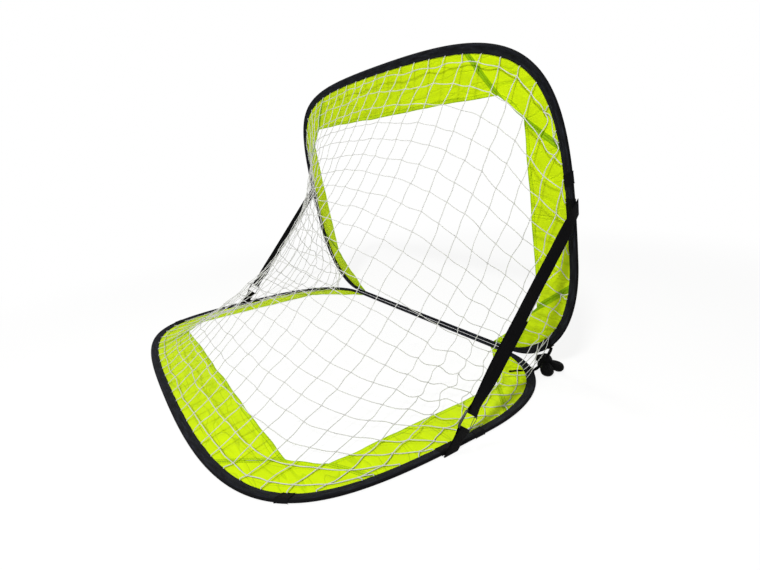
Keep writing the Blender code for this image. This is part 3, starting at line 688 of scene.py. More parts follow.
def seam_places(hoop):
    """Where each seam meets the binding and the opening: (length along the outline, corner)."""
    o = OUTLINES[hoop]
    x, y = o.x + o.inward_x * CLOTH_INSET, o.y + o.inward_y * CLOTH_INSET
    half = len(x) // 2
    upper = half // 2
    top = LENGTHS[hoop] - BANDS[hoop]
    heights = (THICKNESS + GAP, SEAM_HINGE_Y, LENGTHS[hoop] - SEAM_SIDE_DROP)
    along = [float(np.interp(height, y[:half], o.along[:half])) for height in heights]
    along.append(float(np.interp(-SEAM_FAR_X, -x[upper:half], o.along[upper:half])))
    corners = [(OPENING_HINGE_HALF, THICKNESS + GAP), (OPENING_HALF, OPENING_LOW),
               (OPENING_HALF, top - CORNER_CUT_Y), (OPENING_HALF - CORNER_CUT_X, top)]
    return list(zip(along, corners))


def cut_size(edge):
    """Width, length and area of the smallest rectangle's cut that holds a panel's edge."""
    after = np.roll(edge, -1, axis=0)
    area = abs(np.sum(edge[:, 0] * after[:, 1] - after[:, 0] * edge[:, 1])) / 2
    sizes = []
    for turn in np.radians(np.arange(0, 90, 3)):
        cos, sin = math.cos(turn), math.sin(turn)
        sizes.append(np.ptp(edge @ np.array([[cos, -sin], [sin, cos]]), axis=0))
    width, length = min(sizes, key=np.prod)
    return (float(width), float(length)), float(area)


def build_panel(hoop, node, start, end, sign):
    """One panel of the border, between the binding and its hemmed inner edge."""
    on_ground = hoop == GROUND
    wrinkles = bpy.context.scene.goal_sizes.wrinkles
    (along_a, inner_a), (along_b, inner_b) = start, end
    columns = max(int((along_b - along_a) / CLOTH_STEP), 24)
    outer = np.column_stack(beside(hoop, np.linspace(along_a, along_b, columns), CLOTH_INSET))
    share = np.linspace(0, 1, columns)[:, None]
    chord = np.subtract(inner_b, inner_a)
    inner = inner_a + share * chord
    inner_run = lengths_along(inner)[:, None]
    # The free hem wavers a few millimetres between its corners
    waver = ripple(0.075, 8, inner[:, 0] * sign, inner[:, 1], 2.0 if on_ground else 5.0)
    waver = (HEM_WAVER * waver - 0.0012) * np.clip(4 * share * (1 - share), 0, 0.5)[:, 0] * 2
    inner = inner + np.outer(waver * wrinkles, unit((-chord[1], chord[0])))
    width = np.linalg.norm(outer - inner, axis=1)
    fine = HEM_STEPS * np.minimum(1.0, width / 0.030)[:, None]
    hem_gap = np.hstack([fine, np.linspace(fine[:, -1], width, 22, axis=1)[:, 1:]])
    flat = inner[:, None] + (outer - inner)[:, None] * (hem_gap / width[:, None])[..., None]
    to_binding = width[:, None] - hem_gap
    seam_gap = np.inf
    for i in (0, -1):
        x, y = unit(outer[i] - inner[i])
        seam_gap = np.minimum(seam_gap, np.abs((flat - inner[i]) @ np.array((-y, x))))
    x, y = flat[..., 0] * sign, flat[..., 1]
    # The cloth is held flat in the binding and swells towards its free hem. Long folds lie along the
    # band, and short gathers run into the seams
    free = ease(np.clip((to_binding - HELD_FLAT) / SWELL_REACH, 0, 1))
    run = (inner_run + along_a) * sign
    swell = ripple(0.11, 1, x, y, 0.3 if on_ground else 0.9)
    folds = ripple(1.0, 2, run * 3.0, hem_gap * 22)
    gather = ripple(1.0, 4, run * 34, hem_gap * 9)
    near_seam = np.exp(-seam_gap / GATHER_REACH)
    lift = SWELL * (swell + 0.4) + FOLD * np.abs(folds) + GATHER * gather * near_seam + 0.0006 * gather
    middle = CLOTH_LOW + CLOTH / 2
    rise = np.maximum(middle + free * lift * wrinkles, middle - (0.0002 if on_ground else 0.0030))
    doubled = np.maximum(seam_gap < SEAM_WIDTH, hem_gap < HEM_WIDTH) * (to_binding > HELD_FLAT)
    half = CLOTH / 2 + DOUBLED * doubled * (0.8 if on_ground else 1)
    half[:, 0] *= 0.6
    top, bottom = rise + half, rise - (np.minimum(half, rise - 0.0002) if on_ground else half)

    def both(face, back):
        """The two faces of the sheet as rings, in the order that faces outwards."""
        return np.concatenate([face, back[:, ::-1]], axis=1)[::sign]

    rings = in_world(hoop, both(x, x), both(y, y), both(top, bottom))
    shape = Shape().grid(rings, np.zeros(columns), np.zeros(rings.shape[1] + 1))
    piece = new_piece(f"{node}_cloth", node, shape, coated_polyester, f"{hoop}_frame")
    mesh = piece.data
    corners = np.zeros(len(mesh.loops), np.int32)
    mesh.loops.foreach_get("vertex_index", corners)
    # Share of painted shade that doubled cloth takes: full on the upright hoop, less on the ground
    through = np.full_like(hem_gap, 0.3 if on_ground else 1.0)
    layers = {"cloth": (x, y), "seam": (hem_gap, seam_gap), "light": (through, through),
              "hem": (np.broadcast_to(inner_run, hem_gap.shape), np.where(to_binding > 0.02, hem_gap, 1.0))}
    for name, pair in layers.items():
        layer = mesh.uv_layers.get(name) or mesh.uv_layers.new(name=name)
        values = np.column_stack([both(value, value).ravel() for value in pair])
        layer.data.foreach_set("uv", values.astype(np.float32)[corners].ravel())
    flat_size, area = cut_size(np.vstack([inner, outer[::-1]]))


def build_border(hoop):
    """The seven panels of a hoop's border."""
    seams = seam_places(hoop)
    for i, part in enumerate(("hinge_corner", "side_band", "far_corner")):
        for sign, side in SIDES:
            build_panel(hoop, f"{hoop}_{part}_{side}", seams[i], seams[i + 1], sign)
    along, corner = seams[3]
    mirrored = (float(OUTLINES[hoop].along[-1]) - along, (-corner[0], corner[1]))
    build_panel(hoop, f"{hoop}_far_band", seams[3], mirrored, 1)


# The net

def column_place(hoop, column):
    """Length along the outline to where a column is sewn in."""
    if abs(column) > TOP_COLUMN:
        return along_at(hoop, SIDE_HEIGHTS[hoop][abs(column) - TOP_COLUMN - 1], column)
    middle = float(OUTLINES[hoop].along[-1]) / 2
    return middle - (middle - along_at(hoop, TOP_HEIGHTS[hoop], 1)) * column / TOP_COLUMN


def sewn_in(hoop, along):
    """Where a cord comes out from under the binding."""
    return in_world(hoop, *beside(hoop, along, leg_width(hoop, along) + 0.0005), SEWN_RISE)


def tuck(hoop, along):
    """The last of a cord, from the edge of the binding to its end under the tape."""
    width = float(leg_width(hoop, along))
    return [in_world(hoop, *beside(hoop, along, width + offset), rise)
            for offset, rise in ((-0.001, 0.0026), (-0.004, 0.0012))]


def net_cords():
    """Knots by column and row, their first places, where the sewn ones hold, and the cords between them."""
    knots, points, holds, cords = {}, [], {}, []

    def add(point, hold=None):
        points.append(point)
        if hold:
            holds[len(points) - 1] = hold
        return len(points) - 1

    for column in range(-NET_SIDE, NET_SIDE + 1):
        first = FIRST_ROWS.get(abs(column), 1)
        rows = range(first, NET_ROWS + 2 - first)
        places = [(hoop, column_place(hoop, column)) for hoop in HOOPS]
        low, high = (sewn_in(*place) for place in places)
        knots[column, 0] = add(low, places[0])
        for row in rows:
            knots[column, row] = add(low + (high - low) * (row - first + 0.7) / (len(rows) + 0.4))
        knots[column, NET_ROWS + 1] = add(high, places[1])
        chain = [0, *rows, NET_ROWS + 1]
        for a, b in zip(chain, chain[1:]):
            kind = "column end" if a == 0 or b == NET_ROWS + 1 else "column"
            cords.append(NetCord(kind, column, a + 0.5, knots[column, a], knots[column, b]))
    for row in range(1, NET_ROWS + 1):
        hoop, k = (GROUND, row) if row <= NET_ROWS // 2 else (UPRIGHT, NET_ROWS + 1 - row)
        last = max(c for c in range(NET_SIDE + 1) if FIRST_ROWS.get(c, 1) <= k)
        for column in range(-last, last):
            cords.append(NetCord("row", column + 0.5, row, knots[column, row], knots[column + 1, row]))
        for sign in (-1, 1):
            place = (hoop, along_at(hoop, ROW_HEIGHTS[hoop][k - 1], sign))
            end = add(sewn_in(*place), place)
            cords.append(NetCord("row end", sign * (last + 0.5), row, knots[sign * last, row], end))
    return knots, np.array(points), holds, cords


def settle_net(points, holds, cords):
    """Hang the knots in balance, each cord pulling by how far it is stretched."""
    kinds, column, row, first, second = (np.array(values) for values in zip(*cords))
    aside = np.abs(column) / NET_SIDE
    depth = np.minimum(row, NET_ROWS + 1 - row) / (NET_ROWS / 2 + 0.5)
    length, base = (np.array([table[kind] for kind in kinds]) for table in (CORD_LENGTHS, CORD_PULLS))
    base *= np.where(np.isin(kinds, ("column", "column end")),
                     (1 - 0.72 * depth) * np.maximum(1 - 1.766 * aside**2, 0.05),
                     (1 + 1.392 * (1 - depth)) * (1 + 0.221 * aside**3))
    base *= np.where(kinds == "column end", 1 + 14.95 * aside**4, 1.0)
    free = np.array([i for i in range(len(points)) if i not in holds])
    held = np.array(sorted(holds))
    pull = base.copy()
    for _ in range(6):
        whole = np.zeros((len(points), len(points)))
        for a, b, part in ((first, first, pull), (second, second, pull), (first, second, -pull),
                           (second, first, -pull)):
            np.add.at(whole, (a, b), part)
        load = -whole[np.ix_(free, held)] @ points[held]
        load[:, 2] -= NET_WEIGHT
        points[free] = np.linalg.solve(whole[np.ix_(free, free)], load)
        stretch = np.linalg.norm(points[second] - points[first], axis=1) / length
        pull = 0.5 * pull + 0.5 * base * np.maximum(stretch, LEAST_STRETCH) ** STIFFENING
    return points


def off_the_cloth(points, clear):
    """Points moved out so that they stay on the net side of both hoops."""
    points = np.array(points, float)
    points[:, 2] = np.maximum(points[:, 2], clear)
    rise = THICKNESS + points[:, 1] * FRAME_SIN - (points[:, 2] - AXIS_HEIGHT) * FRAME_COS
    points[:, 1:] += np.outer(np.maximum(clear - rise, 0), (FRAME_SIN, -FRAME_COS))
    return points


def draw_in(points, free):
    """The right half of the net drawn in, as its strap and its tight side hold it."""
    strap = strap_line(1)
    outward = np.cross((1.0, 0.0, 0.0), strap.down)
    down = np.clip((points - strap.top) @ strap.down / strap.length, 0, 1)
    share = ease(np.clip(points[:, 0] / 0.18, 0, 1)) * ease(np.clip((0.44 - points[:, 0]) / 0.14, 0, 1))
    depth = DRAWN_IN * share * np.minimum(5 * down * (1 - down), 1)
    return points - np.outer(depth * free, outward)


def slack_of(column, row):
    """Spare length of a cord as a share of its span; loops stay slack near the hinge and by the seams."""
    near_hinge = math.exp(-(column + 12.2)**2 / 2.5 - (row - 8.5)**2 / 6)
    other_hinge = math.exp(-(column - 12.5)**2 / 2 - (row - 12)**2 / 8)
    curl = math.exp(-(column + 11.5)**2 / 0.8 - (row - 22)**2 / 0.5)
    outermost = 1.0 if abs(column) == NET_SIDE else 0.0
    return 0.004 + 0.13 * near_hinge + 0.06 * other_hinge + 0.20 * curl + 0.03 * outermost


def net_line(start, end, slack, chance, steps=6):
    """A cord between two knots, bowed and a little crooked by its spare length."""
    span = end - start
    lean = chance.normal(0, 1, (2, 3)) + ((0, 0, -0.8), (0, 0, 0))
    lean = unit(np.cross(span, np.cross(lean, span)))
    bow = float(np.linalg.norm(span)) * 0.61 * math.sqrt(slack * chance.uniform(0.3, 1.6))
    t = np.linspace(0, 1, steps + 1)[:, None]
    arc, crook = bow * np.sin(math.pi * t), 0.3 * bow * np.sin(2 * math.pi * t)
    return start + span * t + arc * lean[0] + crook * lean[1]


def add_knot(shape, place, along, radius):
    """A net knot: one short fat turn of cord round the crossing."""
    steps = place + along * np.linspace(-2.1, 2.1, 5)[:, None] * radius
    shape.tube(steps, radius * np.array((0.7, 1.55, 1.8, 1.55, 0.7)))


def new_strip(name, shape):
    """Link a strip of the net and bake its place into its mesh."""
    piece = new_piece(name, "net", shape, twisted_net_cord)
    points = np.array([v.co for v in piece.data.vertices])
    share = np.arctan2(points[:, 2] - AXIS_HEIGHT, points[:, 1]) / FRAME_ANGLE
    low, high = share < 0.015, share > 0.985
    wanted = 0.5 - np.sin(np.arcsin(1 - 2 * np.clip(share, 0, 1)) / 3)
    wanted = np.where(low, -0.02, np.where(high, 1.02, wanted))
    weight = np.where(low | high, 4.0, 1.0)
    system = np.column_stack([np.ones(len(points)), points[:, 1], points[:, 2]])
    fit = np.linalg.lstsq(system * weight[:, None], wanted * weight, rcond=None)[0]
    slope = np.array((0.0, fit[1], fit[2]))
    start = -slope * fit[0] / slope.dot(slope)
    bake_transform(piece)


def build_net():
    """The whole net, in strips."""
    settings = bpy.context.scene.goal_sizes
    chance = np.random.default_rng(settings.net_seed)
    knots, points, holds, cords = net_cords()
    points = off_the_cloth(settle_net(points, holds, cords), KNOT_CLEAR)
    free = np.array([i not in holds for i in range(len(points))])
    points = off_the_cloth(draw_in(points, free), KNOT_CLEAR)
    moved = np.column_stack([ripple(0.09, seed, *points.T) for seed in (21, 22, 23)]) * 0.006
    points[free] += (moved + chance.normal(0, 0.0011, moved.shape))[free]
    points = off_the_cloth(points, KNOT_CLEAR)
    radius = settings.net_cord / 2
    columns, rows, ends = defaultdict(list), defaultdict(list), defaultdict(list)
    for cord in cords:
        slack = slack_of(cord.column, cord.row) * settings.net_slack
        line = net_line(points[cord.first], points[cord.second], slack, chance)
        if cord.kind == "row":
            rows[abs(cord.column) + 0.5].append(line)
        elif cord.kind == "row end":
            ends[cord.row].append(np.vstack([line, tuck(*holds[cord.second])]))
        else:
            columns[cord.column].append(line)
    for aside in range(NET_SIDE + 1):
        shape = Shape()
        for column in sorted({aside, -aside}):
            path = np.vstack([line[:-1] for line in columns[column]] + [columns[column][-1][-1]])
            first, last = (tuck(hoop, column_place(hoop, column)) for hoop in HOOPS)
            path = np.vstack([first[::-1], off_the_cloth(path, CORD_CLEAR), last])
            thick = np.full(len(path), radius)
            thick[[0, -1]] = radius * 0.7
            shape.tube(path, thick, hint=(1.0, 0.0, 0.0))
            for row in range(1, NET_ROWS + 1):
                if (column, row) in knots:
                    place = points[knots[column, row]]
                    before = points[knots.get((column - 1, row), knots[column, 0])]
                    add_knot(shape, place, unit(place - before), radius)
        for line in rows[aside]:
            shape.tube(off_the_cloth(line, CORD_CLEAR), radius * 0.94)
        new_strip(f"net_columns_{aside}", shape)
    for row, lines in ends.items():
        shape = Shape()
        for line in lines:
            thick = np.full(len(line), radius * 0.94)
            thick[-1] = radius * 0.7
            shape.tube(line, thick)
        new_strip(f"net_row_ends_{row}", shape)
    add_lashings(radius, chance)


def add_lashings(radius, chance):
    """Four short cords at each end of the hinge that lace the net's corner to both hoops."""
    for sign, side in SIDES:
        shape = Shape()
        for heights in LASHINGS:
            places = [(hoop, along_at(hoop, height, sign)) for hoop, height in zip(HOOPS, heights)]
            first, last = (sewn_in(*place) for place in places)
            line = off_the_cloth(net_line(first, last, 0.02, chance, 10), 0.0036)
            shape.tube(np.vstack([tuck(*places[0])[::-1], line, tuck(*places[1])]), radius * 0.9)
            add_knot(shape, line[5], unit(line[6] - line[4]), radius)
        new_strip(f"net_lashing_{side}", shape)


# Straps and clips

def strap_seat(hoop, sign):
    """Middle of the strap's plane beside the outermost point of its wrap."""
    o = OUTLINES[hoop]
    widest = float(np.max(np.abs(o.x[np.abs(o.y - STRAP_HEIGHT) < WRAP_LENGTH / 2])))
    out = widest + GAP + WRAP_TAPE + STRAP_STANDOFF + STRAP_TAPE + GAP / 2
    return in_world(hoop, sign * out, STRAP_HEIGHT, NOSE)


def strap_line(sign):
    """Where one side's strap runs, and the directions down it, out of its face and across it."""
    top, foot = strap_seat(UPRIGHT, sign), strap_seat(GROUND, sign)
    down = unit(foot - top)
    out = np.array((float(sign), 0.0, 0.0))
    out = unit(out - down * out.dot(down))
    return Strap(top, foot, down, out, np.cross(out, down) * sign, float(np.linalg.norm(foot - top)))


def turned_path(bar, last, wave=0.0, seed=0):
    """Webbing up to a bar, round it and back beside itself, as (distance, outward, sideways) steps."""
    layer = (STRAP_TAPE + GAP) / 2
    turn = CLIP_WIRE + 2 * GAP + STRAP_TAPE / 2
    near = bar - STRAP_EASE
    path = [(d, -layer, 0.0) for d in np.linspace(0.0, near, max(int(near / STRAP_STEP), 4))]
    path += [(near + STRAP_EASE * s, -layer - (turn - layer) * ease(s), 0.0) for s in (0.25, 0.5, 0.75)]
    angles = np.linspace(-math.pi / 2, math.pi / 2, 11)
    path += [(bar + turn * math.cos(a), turn * math.sin(a), 0.0) for a in angles]
    path += [(bar - STRAP_EASE * s, layer + (turn - layer) * ease(1 - s), 0.0) for s in (0.25, 0.5, 0.75)]
    aside = -0.0030 if wave else 0.0004
    back = np.linspace(near, last, max(int((near - last) / STRAP_STEP), 4))
    path = np.array(path + [(d, layer, aside * min((near - d) / 0.04, 1)) for d in back])
    swell = ripple(0.10, seed, path[:, 0])
    away = np.clip((near - path[:, 0]) / 0.05, 0, 1) * np.clip((path[:, 0] + 0.01) / 0.05, 0, 1)
    path[:, 1] += wave * swell * away
    path[:, 2] += 0.5 * wave * swell[::-1] * away
    return path


def build_ribbon(node, strap, start, along, path, cuts, twist=0.0):
    """Flat webbing with soft selvedges along a path, turned about its length by twist. Each cut is the reach
    of an end in its middle and how much more it is a metre across."""
    slope = unit(np.gradient(path[:, :2], axis=0))
    twist = np.broadcast_to(twist, (len(path),))
    half, thick = STRAP_WIDTH / 2, STRAP_TAPE / 2
    edges = [(1.0, 0.4), *((s, 1.0) for s in (0.93, 0.5, 0.0, -0.5, -0.93)), (-1.0, 0.4)]
    edges = np.array(edges + [(s, -t) for s, t in edges[::-1]])
    rings = []
    for i, (distance, outward, aside) in enumerate(path):
        offset = aside + edges[:, 0] * half
        reach = distance - slope[i, 1] * thick * edges[:, 1]
        if i in (0, len(path) - 1):
            middle, slant = cuts[0 if i == 0 else 1]
            reach = middle + slant * offset
        rise = outward + slope[i, 0] * thick * edges[:, 1]
        cos, sin = math.cos(twist[i]), math.sin(twist[i])
        rise, offset = rise * cos - offset * sin, offset * cos + rise * sin
        ring = start + np.outer(reach, along) + np.outer(rise, strap.out)
        rings.append(ring + np.outer(offset, strap.across))
    shape = Shape().grid(rings, lengths_along(path), lengths_round(edges * (half, thick)))
    return new_piece(f"{node}_webbing", node, shape, polypropylene_webbing, sharp=55)


def build_straps():
    """The side straps that hold the upright hoop back, and the tabs that their clips hook into."""
    settings = bpy.context.scene.goal_sizes
    net_side = np.array((0.0, FRAME_SIN, -FRAME_COS))
    for sign, side in SIDES:
        strap = strap_line(sign)
        bar = strap.length - CLIP_RISE - CLIP_HALF_LENGTH
        last = bar - STRAP_FOLD_BACK
        path = turned_path(bar, last, settings.strap_wave, 31 + sign)
        free = np.clip(path[:, 0] / 0.07, 0, 1) * np.clip((bar - 0.008 - path[:, 0]) / 0.09, 0, 1)
        along_upright = -np.array((NOSE, strap.across.dot(net_side))) / strap.down.dot(net_side)
        piece = build_ribbon(f"side_strap_{side}", strap, strap.top, strap.down, path,
                             (along_upright, (last, 0.0)), -sign * ease(free) * settings.strap_twist)
        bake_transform(piece)
        at_ground = np.array((strap.foot[2] - 0.001, strap.across[2])) / strap.down[2]
        path = turned_path(CLIP_RISE - CLIP_HALF_LENGTH, 0.0)
        piece = build_ribbon(f"clip_tab_{side}", strap, strap.foot, -strap.down, path, (at_ground, at_ground))
        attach(piece, "ground_frame")


def build_clips():
    """The two bent wire clips and their sprung gates."""
    wide, tall, corner = CLIP_HALF_WIDTH, CLIP_HALF_LENGTH, CLIP_CORNER
    quarter = np.linspace(0, math.pi / 2, 6)
    line = [(-wide, -GATE_HALF)]
    for x, y in ((-1, -1), (1, -1), (1, 1), (-1, 1)):
        for a in quarter[::x * y]:
            across, down = wide - corner + corner * math.cos(a), tall - corner + corner * math.sin(a)
            line.append((x * across, y * down))
    line.append((-wide, GATE_HALF))
    thick = [CLIP_WIRE * (CLIP_SPINE if x > wide - corner / 2 else 1.0) for x, _ in line]
    apart, tip = CLIP_WIRE + GAP + GATE_WIRE, GATE_HALF - GAP - GATE_WIRE
    half = [(-GATE_HALF - GATE_PIVOT_INSET, apart), (-0.8 * GATE_HALF, apart), (0.0, apart * 0.75),
            (tip - 4 * GATE_WIRE, 2.4 * GATE_WIRE), (tip - GATE_WIRE, 2 * GATE_WIRE), (tip, GATE_WIRE)]
    gate = half + [(down, -out) for down, out in half[::-1]]
    for sign, side in SIDES:
        strap = strap_line(sign)

        def point(across, down, out=0.0):
            """A point of the clip, measured from its middle."""
            middle = strap.foot - strap.down * CLIP_RISE
            return middle + strap.across * across + strap.down * down + strap.out * out

        shape = Shape().tube([point(*place) for place in line], thick, 14, strap.out)
        new_piece(f"clip_{side}_wire", f"clip_{side}", shape, coated_steel_wire, "ground_frame", 50)
        wire = smooth_path([point(-wide, down, out) for down, out in gate], 3)
        shape = Shape().tube(wire, GATE_WIRE, 10, strap.across)
        new_piece(f"clip_gate_{side}_wire", f"clip_gate_{side}", shape, coated_steel_wire, f"gate_{side}", 50)


# The storage tie

def tie_piece(part, shape, body="ground_frame"):
    """One of the tie's pieces of cord."""
    return new_piece(f"tie_{part}_cord", f"tie_{part}", shape, polypropylene_webbing, body)


def build_knot(middle):
    """The tie's knot: one thick cord that passes over and under itself three times."""
    turn = np.linspace(0, 2 * math.pi, 73)
    room = (KNOT_RADII * (1.2, 1.2, 1.08) - KNOT_CORD) / (3.0, 3.0, 1.0)
    out = 2 + np.cos(3 * turn)
    line = np.column_stack([out * np.cos(2 * turn), out * np.sin(2 * turn), np.sin(3 * turn)])
    shape = Shape().tube(middle + line * room, KNOT_CORD * (1 + 0.06 * np.sin(9 * turn)), 12)
    core = middle + np.linspace(-1, 1, 7)[:, None] * (0.0, 0.0, KNOT_RADII[2] * 0.8)
    tie_piece("knot", shape.tube(core, (0.003, 0.0062, 0.0075, 0.008, 0.0075, 0.0062, 0.003), 12, (1, 0, 0)))


def build_bow(bow, middle, reach):
    """A bow of the tie: a loop of cord that goes out of the knot and comes back."""
    length = float(np.linalg.norm(reach))
    out = reach / length
    side = unit(np.cross(out, (0.0, 0.0, 1.0)))
    turn = np.linspace(0, 1, 25)
    rise = np.sin(math.pi * turn)
    far = (length - BOW_START - BOW_TURN) * rise ** 0.8
    wide = BOW_TURN * np.sin(2 * math.pi * turn)
    line = middle + out * BOW_START + np.outer(far, out) + np.outer(wide, side)
    line[:, 2] -= SAG * rise**2
    tie_piece(f"bow_{bow}", Shape().tube(line, BOW_CORD * (1 + 0.08 * rise), 12))


def build_tail(place):
    """The tie's free end, which lies on the ground border."""
    first = leg_width(GROUND, place) + TAIL_RADIUS + GAP
    x, y = beside(GROUND, place, np.linspace(first, first + TAIL_LENGTH, 14))
    wave = 0.0012 * np.sin(np.linspace(0, 5.0, 14))
    across = (y[-1] - y[0], x[0] - x[-1]) / np.hypot(y[-1] - y[0], x[0] - x[-1])
    rise = CLOTH_LOW + CLOTH + 0.0005 + TAIL_RADIUS
    line = in_world(GROUND, x + across[0] * wave, y + across[1] * wave, rise)
    thick = np.interp(np.linspace(0, 1, 14), (0, 0.1, 0.8, 0.88, 0.94, 1.0), (0.8, 1.0, 0.9, 1.0, 1.0, 0.6))
    tail = tie_piece("tail", Shape().tube(line, TAIL_RADIUS * thick, 10))
    tuple(line[0])


def build_tie():
    """The storage tie that hangs at the hinge: wraps, links, knot, bows and tail."""
    places = {hoop: along_at(hoop, height, -1) for hoop, height in TIE_HEIGHTS.items()}
    for hoop, height in TIE_HEIGHTS.items():
        build_over_tape(f"{hoop}_tie_wrap", hoop, -1, height, TIE_WIDTH, TIE_TAPE, polypropylene_webbing,
                        TIE_FLARE)
    middle = in_world(GROUND, *beside(GROUND, places[GROUND], 0.0), NOSE) + KNOT_FROM_HOOP
    build_knot(middle)
    for bow, reach in BOWS.items():
        build_bow(bow, middle, reach)
    share = np.linspace(0, 1, 12)
    thick = LINK_RADIUS * np.interp(share, (0, 0.15, 1), (0.75, 1.0, 0.9))
    for hoop, place in places.items():
        seat = in_world(hoop, *beside(hoop, place, -(GAP + TIE_TAPE + 0.001)), NOSE)
        steps = seat + (middle - seat) * np.linspace(0.03, 0.80, 12)[:, None]
        steps[:, 2] -= SAG * np.sin(math.pi * share)
        piece = tie_piece(f"link_{hoop}", Shape().tube(steps, thick, 10), None)
        if hoop == GROUND:
            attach(piece, "ground_frame")
        else:
            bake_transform(piece)
    build_tail(places[GROUND])


# Studio

def studio_paper():
    """Seamless studio paper: matt and almost white, so that it keeps the goal's soft shadow."""
    material, tree, shader = start_material("matt seamless paper", linear("#F4F4F2"), 0.95, ior=1.45)
    # Paper fibres are under 1 mm, drawn as soft 6 mm mottling
    fibres = add_node(tree, "TexNoise", Scale=180.0, Detail=3.0)
    bump = add_node(tree, "Bump", Height=fibres, Strength=0.05, Distance=0.0005)
    fill(tree, shader, {"Normal": bump})
    # Further than a metre or two from the goal the paper fades into the white surround
    place = add_node(tree, "TexCoord").outputs["Object"]
    away = add_node(tree, "VectorMath", place, operation="LENGTH").outputs["Value"]
    fade = add_node(tree, "MapRange", away, From_Min=0.9, From_Max=2.0, To_Min=0.84, To_Max=1.0,
                    interpolation_type="SMOOTHSTEP")
    share = add_node(tree, "Math", seen_white(tree), fade, operation="MULTIPLY")
    white = add_node(tree, "Emission", linear("#FFFFFF"), 1.0)
    mixed = add_node(tree, "MixShader", share, shader, white)
    fill(tree, tree.nodes["Material Output"], {"Surface": mixed})
    return material


def light_world(strength):
    """An even pale surround that cameras and mirrors see as white."""
    world = bpy.data.worlds.new("studio")
    world.use_nodes = True
    tree = world.node_tree
    plain, white = (add_node(tree, "Background", linear("#FFFFFF"), light) for light in (strength, 1.0))
    mixed = add_node(tree, "MixShader", seen_white(tree), plain, white)
    fill(tree, tree.nodes["World Output"], {"Surface": mixed})
    bpy.context.scene.world = world


def place_object(name, data, place, turn):
    """Link an object of the studio."""
    made = bpy.data.objects.new(name, data)
    made.location, made.rotation_euler = place, turn
    bpy.context.scene.collection.objects.link(made)
    return made


def add_lamp(name, place, aim, size, power):
    """One soft square lamp."""
    lamp = bpy.data.lights.new(name, "AREA")
    lamp.shape, lamp.size, lamp.energy = "SQUARE", size, power
    place_object(name, lamp, place, (Vector(aim) - Vector(place)).to_track_quat("-Z", "Y").to_euler())


def build_stage():
    """Floor, lamps, surround and camera."""
    count = 13
    side = np.linspace(-FLOOR_HALF, FLOOR_HALF, count)
    points = [(x, y, FLOOR_HEIGHT) for y in side for x in side]
    starts = [i * count + j for i in range(count - 1) for j in range(count - 1)]
    faces = [(start, start + 1, start + count + 1, start + count) for start in starts]
    mesh = bpy.data.meshes.new("studio_floor")
    mesh.from_pydata(points, [], faces)
    mesh.materials.append(studio_paper())
    place_object("studio_floor", mesh, (0.0, 0.0, 0.0), (0.0, 0.0, 0.0))
    light_world(0.26)
    add_lamp("key_lamp", (-1.7, 2.3, 2.7), (0.0, 0.3, 0.2), 0.40, 116.0)
    add_lamp("top_lamp", (0.3, 0.4, 3.2), (0.0, 0.4, 0.0), 0.30, 26.0)
    add_lamp("fill_lamp", (2.2, -2.4, 2.0), (0.0, 0.3, 0.3), 2.0, 12.0)
    lens = bpy.data.cameras.new("view_camera")
    lens.lens, lens.sensor_width, lens.clip_start = CAMERA_LENS, 36.0, 0.02
    scene = bpy.context.scene
    scene.camera = place_object("view_camera", lens, CAMERA_PLACE, Euler(CAMERA_TURN, "XYZ"))
    scene.view_settings.view_transform = "Standard"


# Settings, operators and panel

def swatch(name, description, code):
    """A colour setting."""
    return FloatVectorProperty(name=name, description=description, subtype="COLOR", size=4, min=0.0, max=1.0,
                               default=linear(code))


class GoalSizes(bpy.types.PropertyGroup):
    """Sizes of the soft goods."""

    net_cord: FloatProperty(name="Net cord", description="Diameter of the net's cord", default=0.0019,
                            min=0.001, max=0.006, unit="LENGTH")
    net_slack: FloatProperty(name="Net slack", description="Spare length in the cords, where 1 is as seen",
                             default=1.0, min=0.0, max=2.0, subtype="FACTOR")
    net_seed: IntProperty(name="Net chance", description="Which way each slack cord falls", default=7, min=0)
    wrinkles: FloatProperty(name="Wrinkles", description="Depth of the cloth's folds, where 1 is as seen",
                            default=1.0, min=0.0, max=2.0, subtype="FACTOR")
    strap_wave: FloatProperty(name="Strap wave", description="How far the side straps leave a straight line",
                              default=0.0012, min=0.0, max=0.004, unit="LENGTH")
    strap_twist: FloatProperty(name="Strap twist",
                               description="How far the side straps turn out of their plane",
                               default=math.radians(27.0), min=0.0, max=math.radians(60.0), subtype="ANGLE")


class GoalColours(bpy.types.PropertyGroup):
    """Colours of the soft goods."""

    cloth: swatch("Cloth", "Single cloth of the border", "#B7D106")
    # The seam colour is painted shade, where doubled cloth lets less light through
    seam: swatch("Seam", "Cloth where two panels are felled together", "#7DA800")
    tape: swatch("Binding tape", "Tape round the hoops", "#14151A")
    webbing: swatch("Webbing", "Side straps, tabs and tie", "#060607")
    # The net cord is white; its grey colour is painted shade
    net: swatch("Net", "Net cord", "#BFBFBC")


class GOAL_OT_bindings(bpy.types.Operator):
    """Build the binding tape and the hinge sleeve of both hoops"""
    bl_idname = "goal.bindings"
    bl_label = "Bindings and sleeves"

    def execute(self, context):
        for hoop in HOOPS:
            build_binding(hoop)
            build_sleeve(hoop)
        return {"FINISHED"}


class GOAL_OT_cuffs(bpy.types.Operator):
    """Build the cuffs over the laps of the binding and the wraps that hold the straps"""
    bl_idname = "goal.cuffs"
    bl_label = "Cuffs and strap wraps"

    def execute(self, context):
        for i, (hoop, sign, height) in enumerate(CUFFS, 1):
            build_over_tape(f"binding_cuff_{i}", hoop, sign, height, CUFF_LENGTH, TAPE, grosgrain_tape,
                            CUFF_FLARE, CUFF_SLANT)
        for hoop in HOOPS:
            for sign, side in SIDES:
                build_over_tape(f"{hoop}_strap_wrap_{side}", hoop, sign, STRAP_HEIGHT, WRAP_LENGTH, WRAP_TAPE,
                                polypropylene_webbing)
        return {"FINISHED"}


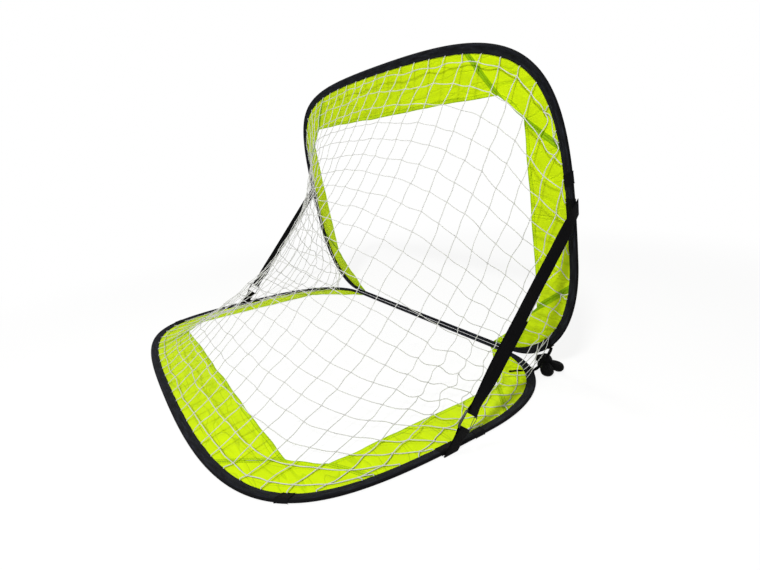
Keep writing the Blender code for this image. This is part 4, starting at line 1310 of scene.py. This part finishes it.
class GOAL_OT_border(bpy.types.Operator):
    """Build the seven sewn cloth panels inside each hoop"""
    bl_idname = "goal.border"
    bl_label = "Cloth border"

    def execute(self, context):
        for hoop in HOOPS:
            build_border(hoop)
        return {"FINISHED"}


class GOAL_OT_net(bpy.types.Operator):
    """Hang the knotted net between the hoops"""
    bl_idname = "goal.net"
    bl_label = "Net"

    def execute(self, context):
        build_net()
        return {"FINISHED"}


class GOAL_OT_straps(bpy.types.Operator):
    """Build the two side straps and the tabs for their clips"""
    bl_idname = "goal.straps"
    bl_label = "Side straps and tabs"

    def execute(self, context):
        build_straps()
        return {"FINISHED"}


class GOAL_OT_clips(bpy.types.Operator):
    """Bend the two wire clips and their gates"""
    bl_idname = "goal.clips"
    bl_label = "Wire clips"

    def execute(self, context):
        build_clips()
        return {"FINISHED"}


class GOAL_OT_tie(bpy.types.Operator):
    """Knot the storage tie at the hinge"""
    bl_idname = "goal.tie"
    bl_label = "Storage tie"

    def execute(self, context):
        build_tie()
        return {"FINISHED"}


class GOAL_OT_rods(bpy.types.Operator):
    """Finish the sprung rods and their ferrules, whose shapes come from the frame"""
    bl_idname = "goal.rods"
    bl_label = "Rods and ferrules"

    def execute(self, context):
        for finish in (pultruded_glass_fibre, drawn_aluminium):
            for hoop in HOOPS:
                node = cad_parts[f"{hoop}_{FINISHES[finish][1]}"]
                node.material_slots[0].material = shared(finish)
        return {"FINISHED"}


class GOAL_OT_stage(bpy.types.Operator):
    """Lay the floor, hang the lamps and place the camera"""
    bl_idname = "goal.stage"
    bl_label = "Studio"

    def execute(self, context):
        build_stage()
        return {"FINISHED"}


STEPS = (GOAL_OT_stage, GOAL_OT_rods, GOAL_OT_bindings, GOAL_OT_cuffs, GOAL_OT_border, GOAL_OT_straps,
         GOAL_OT_clips, GOAL_OT_tie, GOAL_OT_net)


class GOAL_PT_panel(bpy.types.Panel):
    """Settings and steps of the goal"""
    bl_idname = "GOAL_PT_panel"
    bl_label = "Pop-up soccer goal"
    bl_space_type = "VIEW_3D"
    bl_region_type = "UI"
    bl_category = "Goal"

    def draw(self, context):
        for group in (context.scene.goal_sizes, context.scene.goal_colours):
            box = self.layout.box()
            for name in group.__annotations__:
                box.prop(group, name)
        for step in STEPS:
            self.layout.operator(step.bl_idname)


CLASSES = (GoalSizes, GoalColours, *STEPS, GOAL_PT_panel)


def register():
    """Make the settings, the steps and the panel known."""
    for made in CLASSES:
        bpy.utils.register_class(made)
    bpy.types.Scene.goal_sizes = PointerProperty(type=GoalSizes)
    bpy.types.Scene.goal_colours = PointerProperty(type=GoalColours)


def unregister():
    """Take them away again."""
    del bpy.types.Scene.goal_colours, bpy.types.Scene.goal_sizes
    for made in reversed(CLASSES):
        bpy.utils.unregister_class(made)


def main():
    """Build the whole goal."""
    register()
    for step in STEPS:
        getattr(bpy.ops.goal, step.bl_idname.split(".")[1])()


if __name__ == "__main__":
    main()
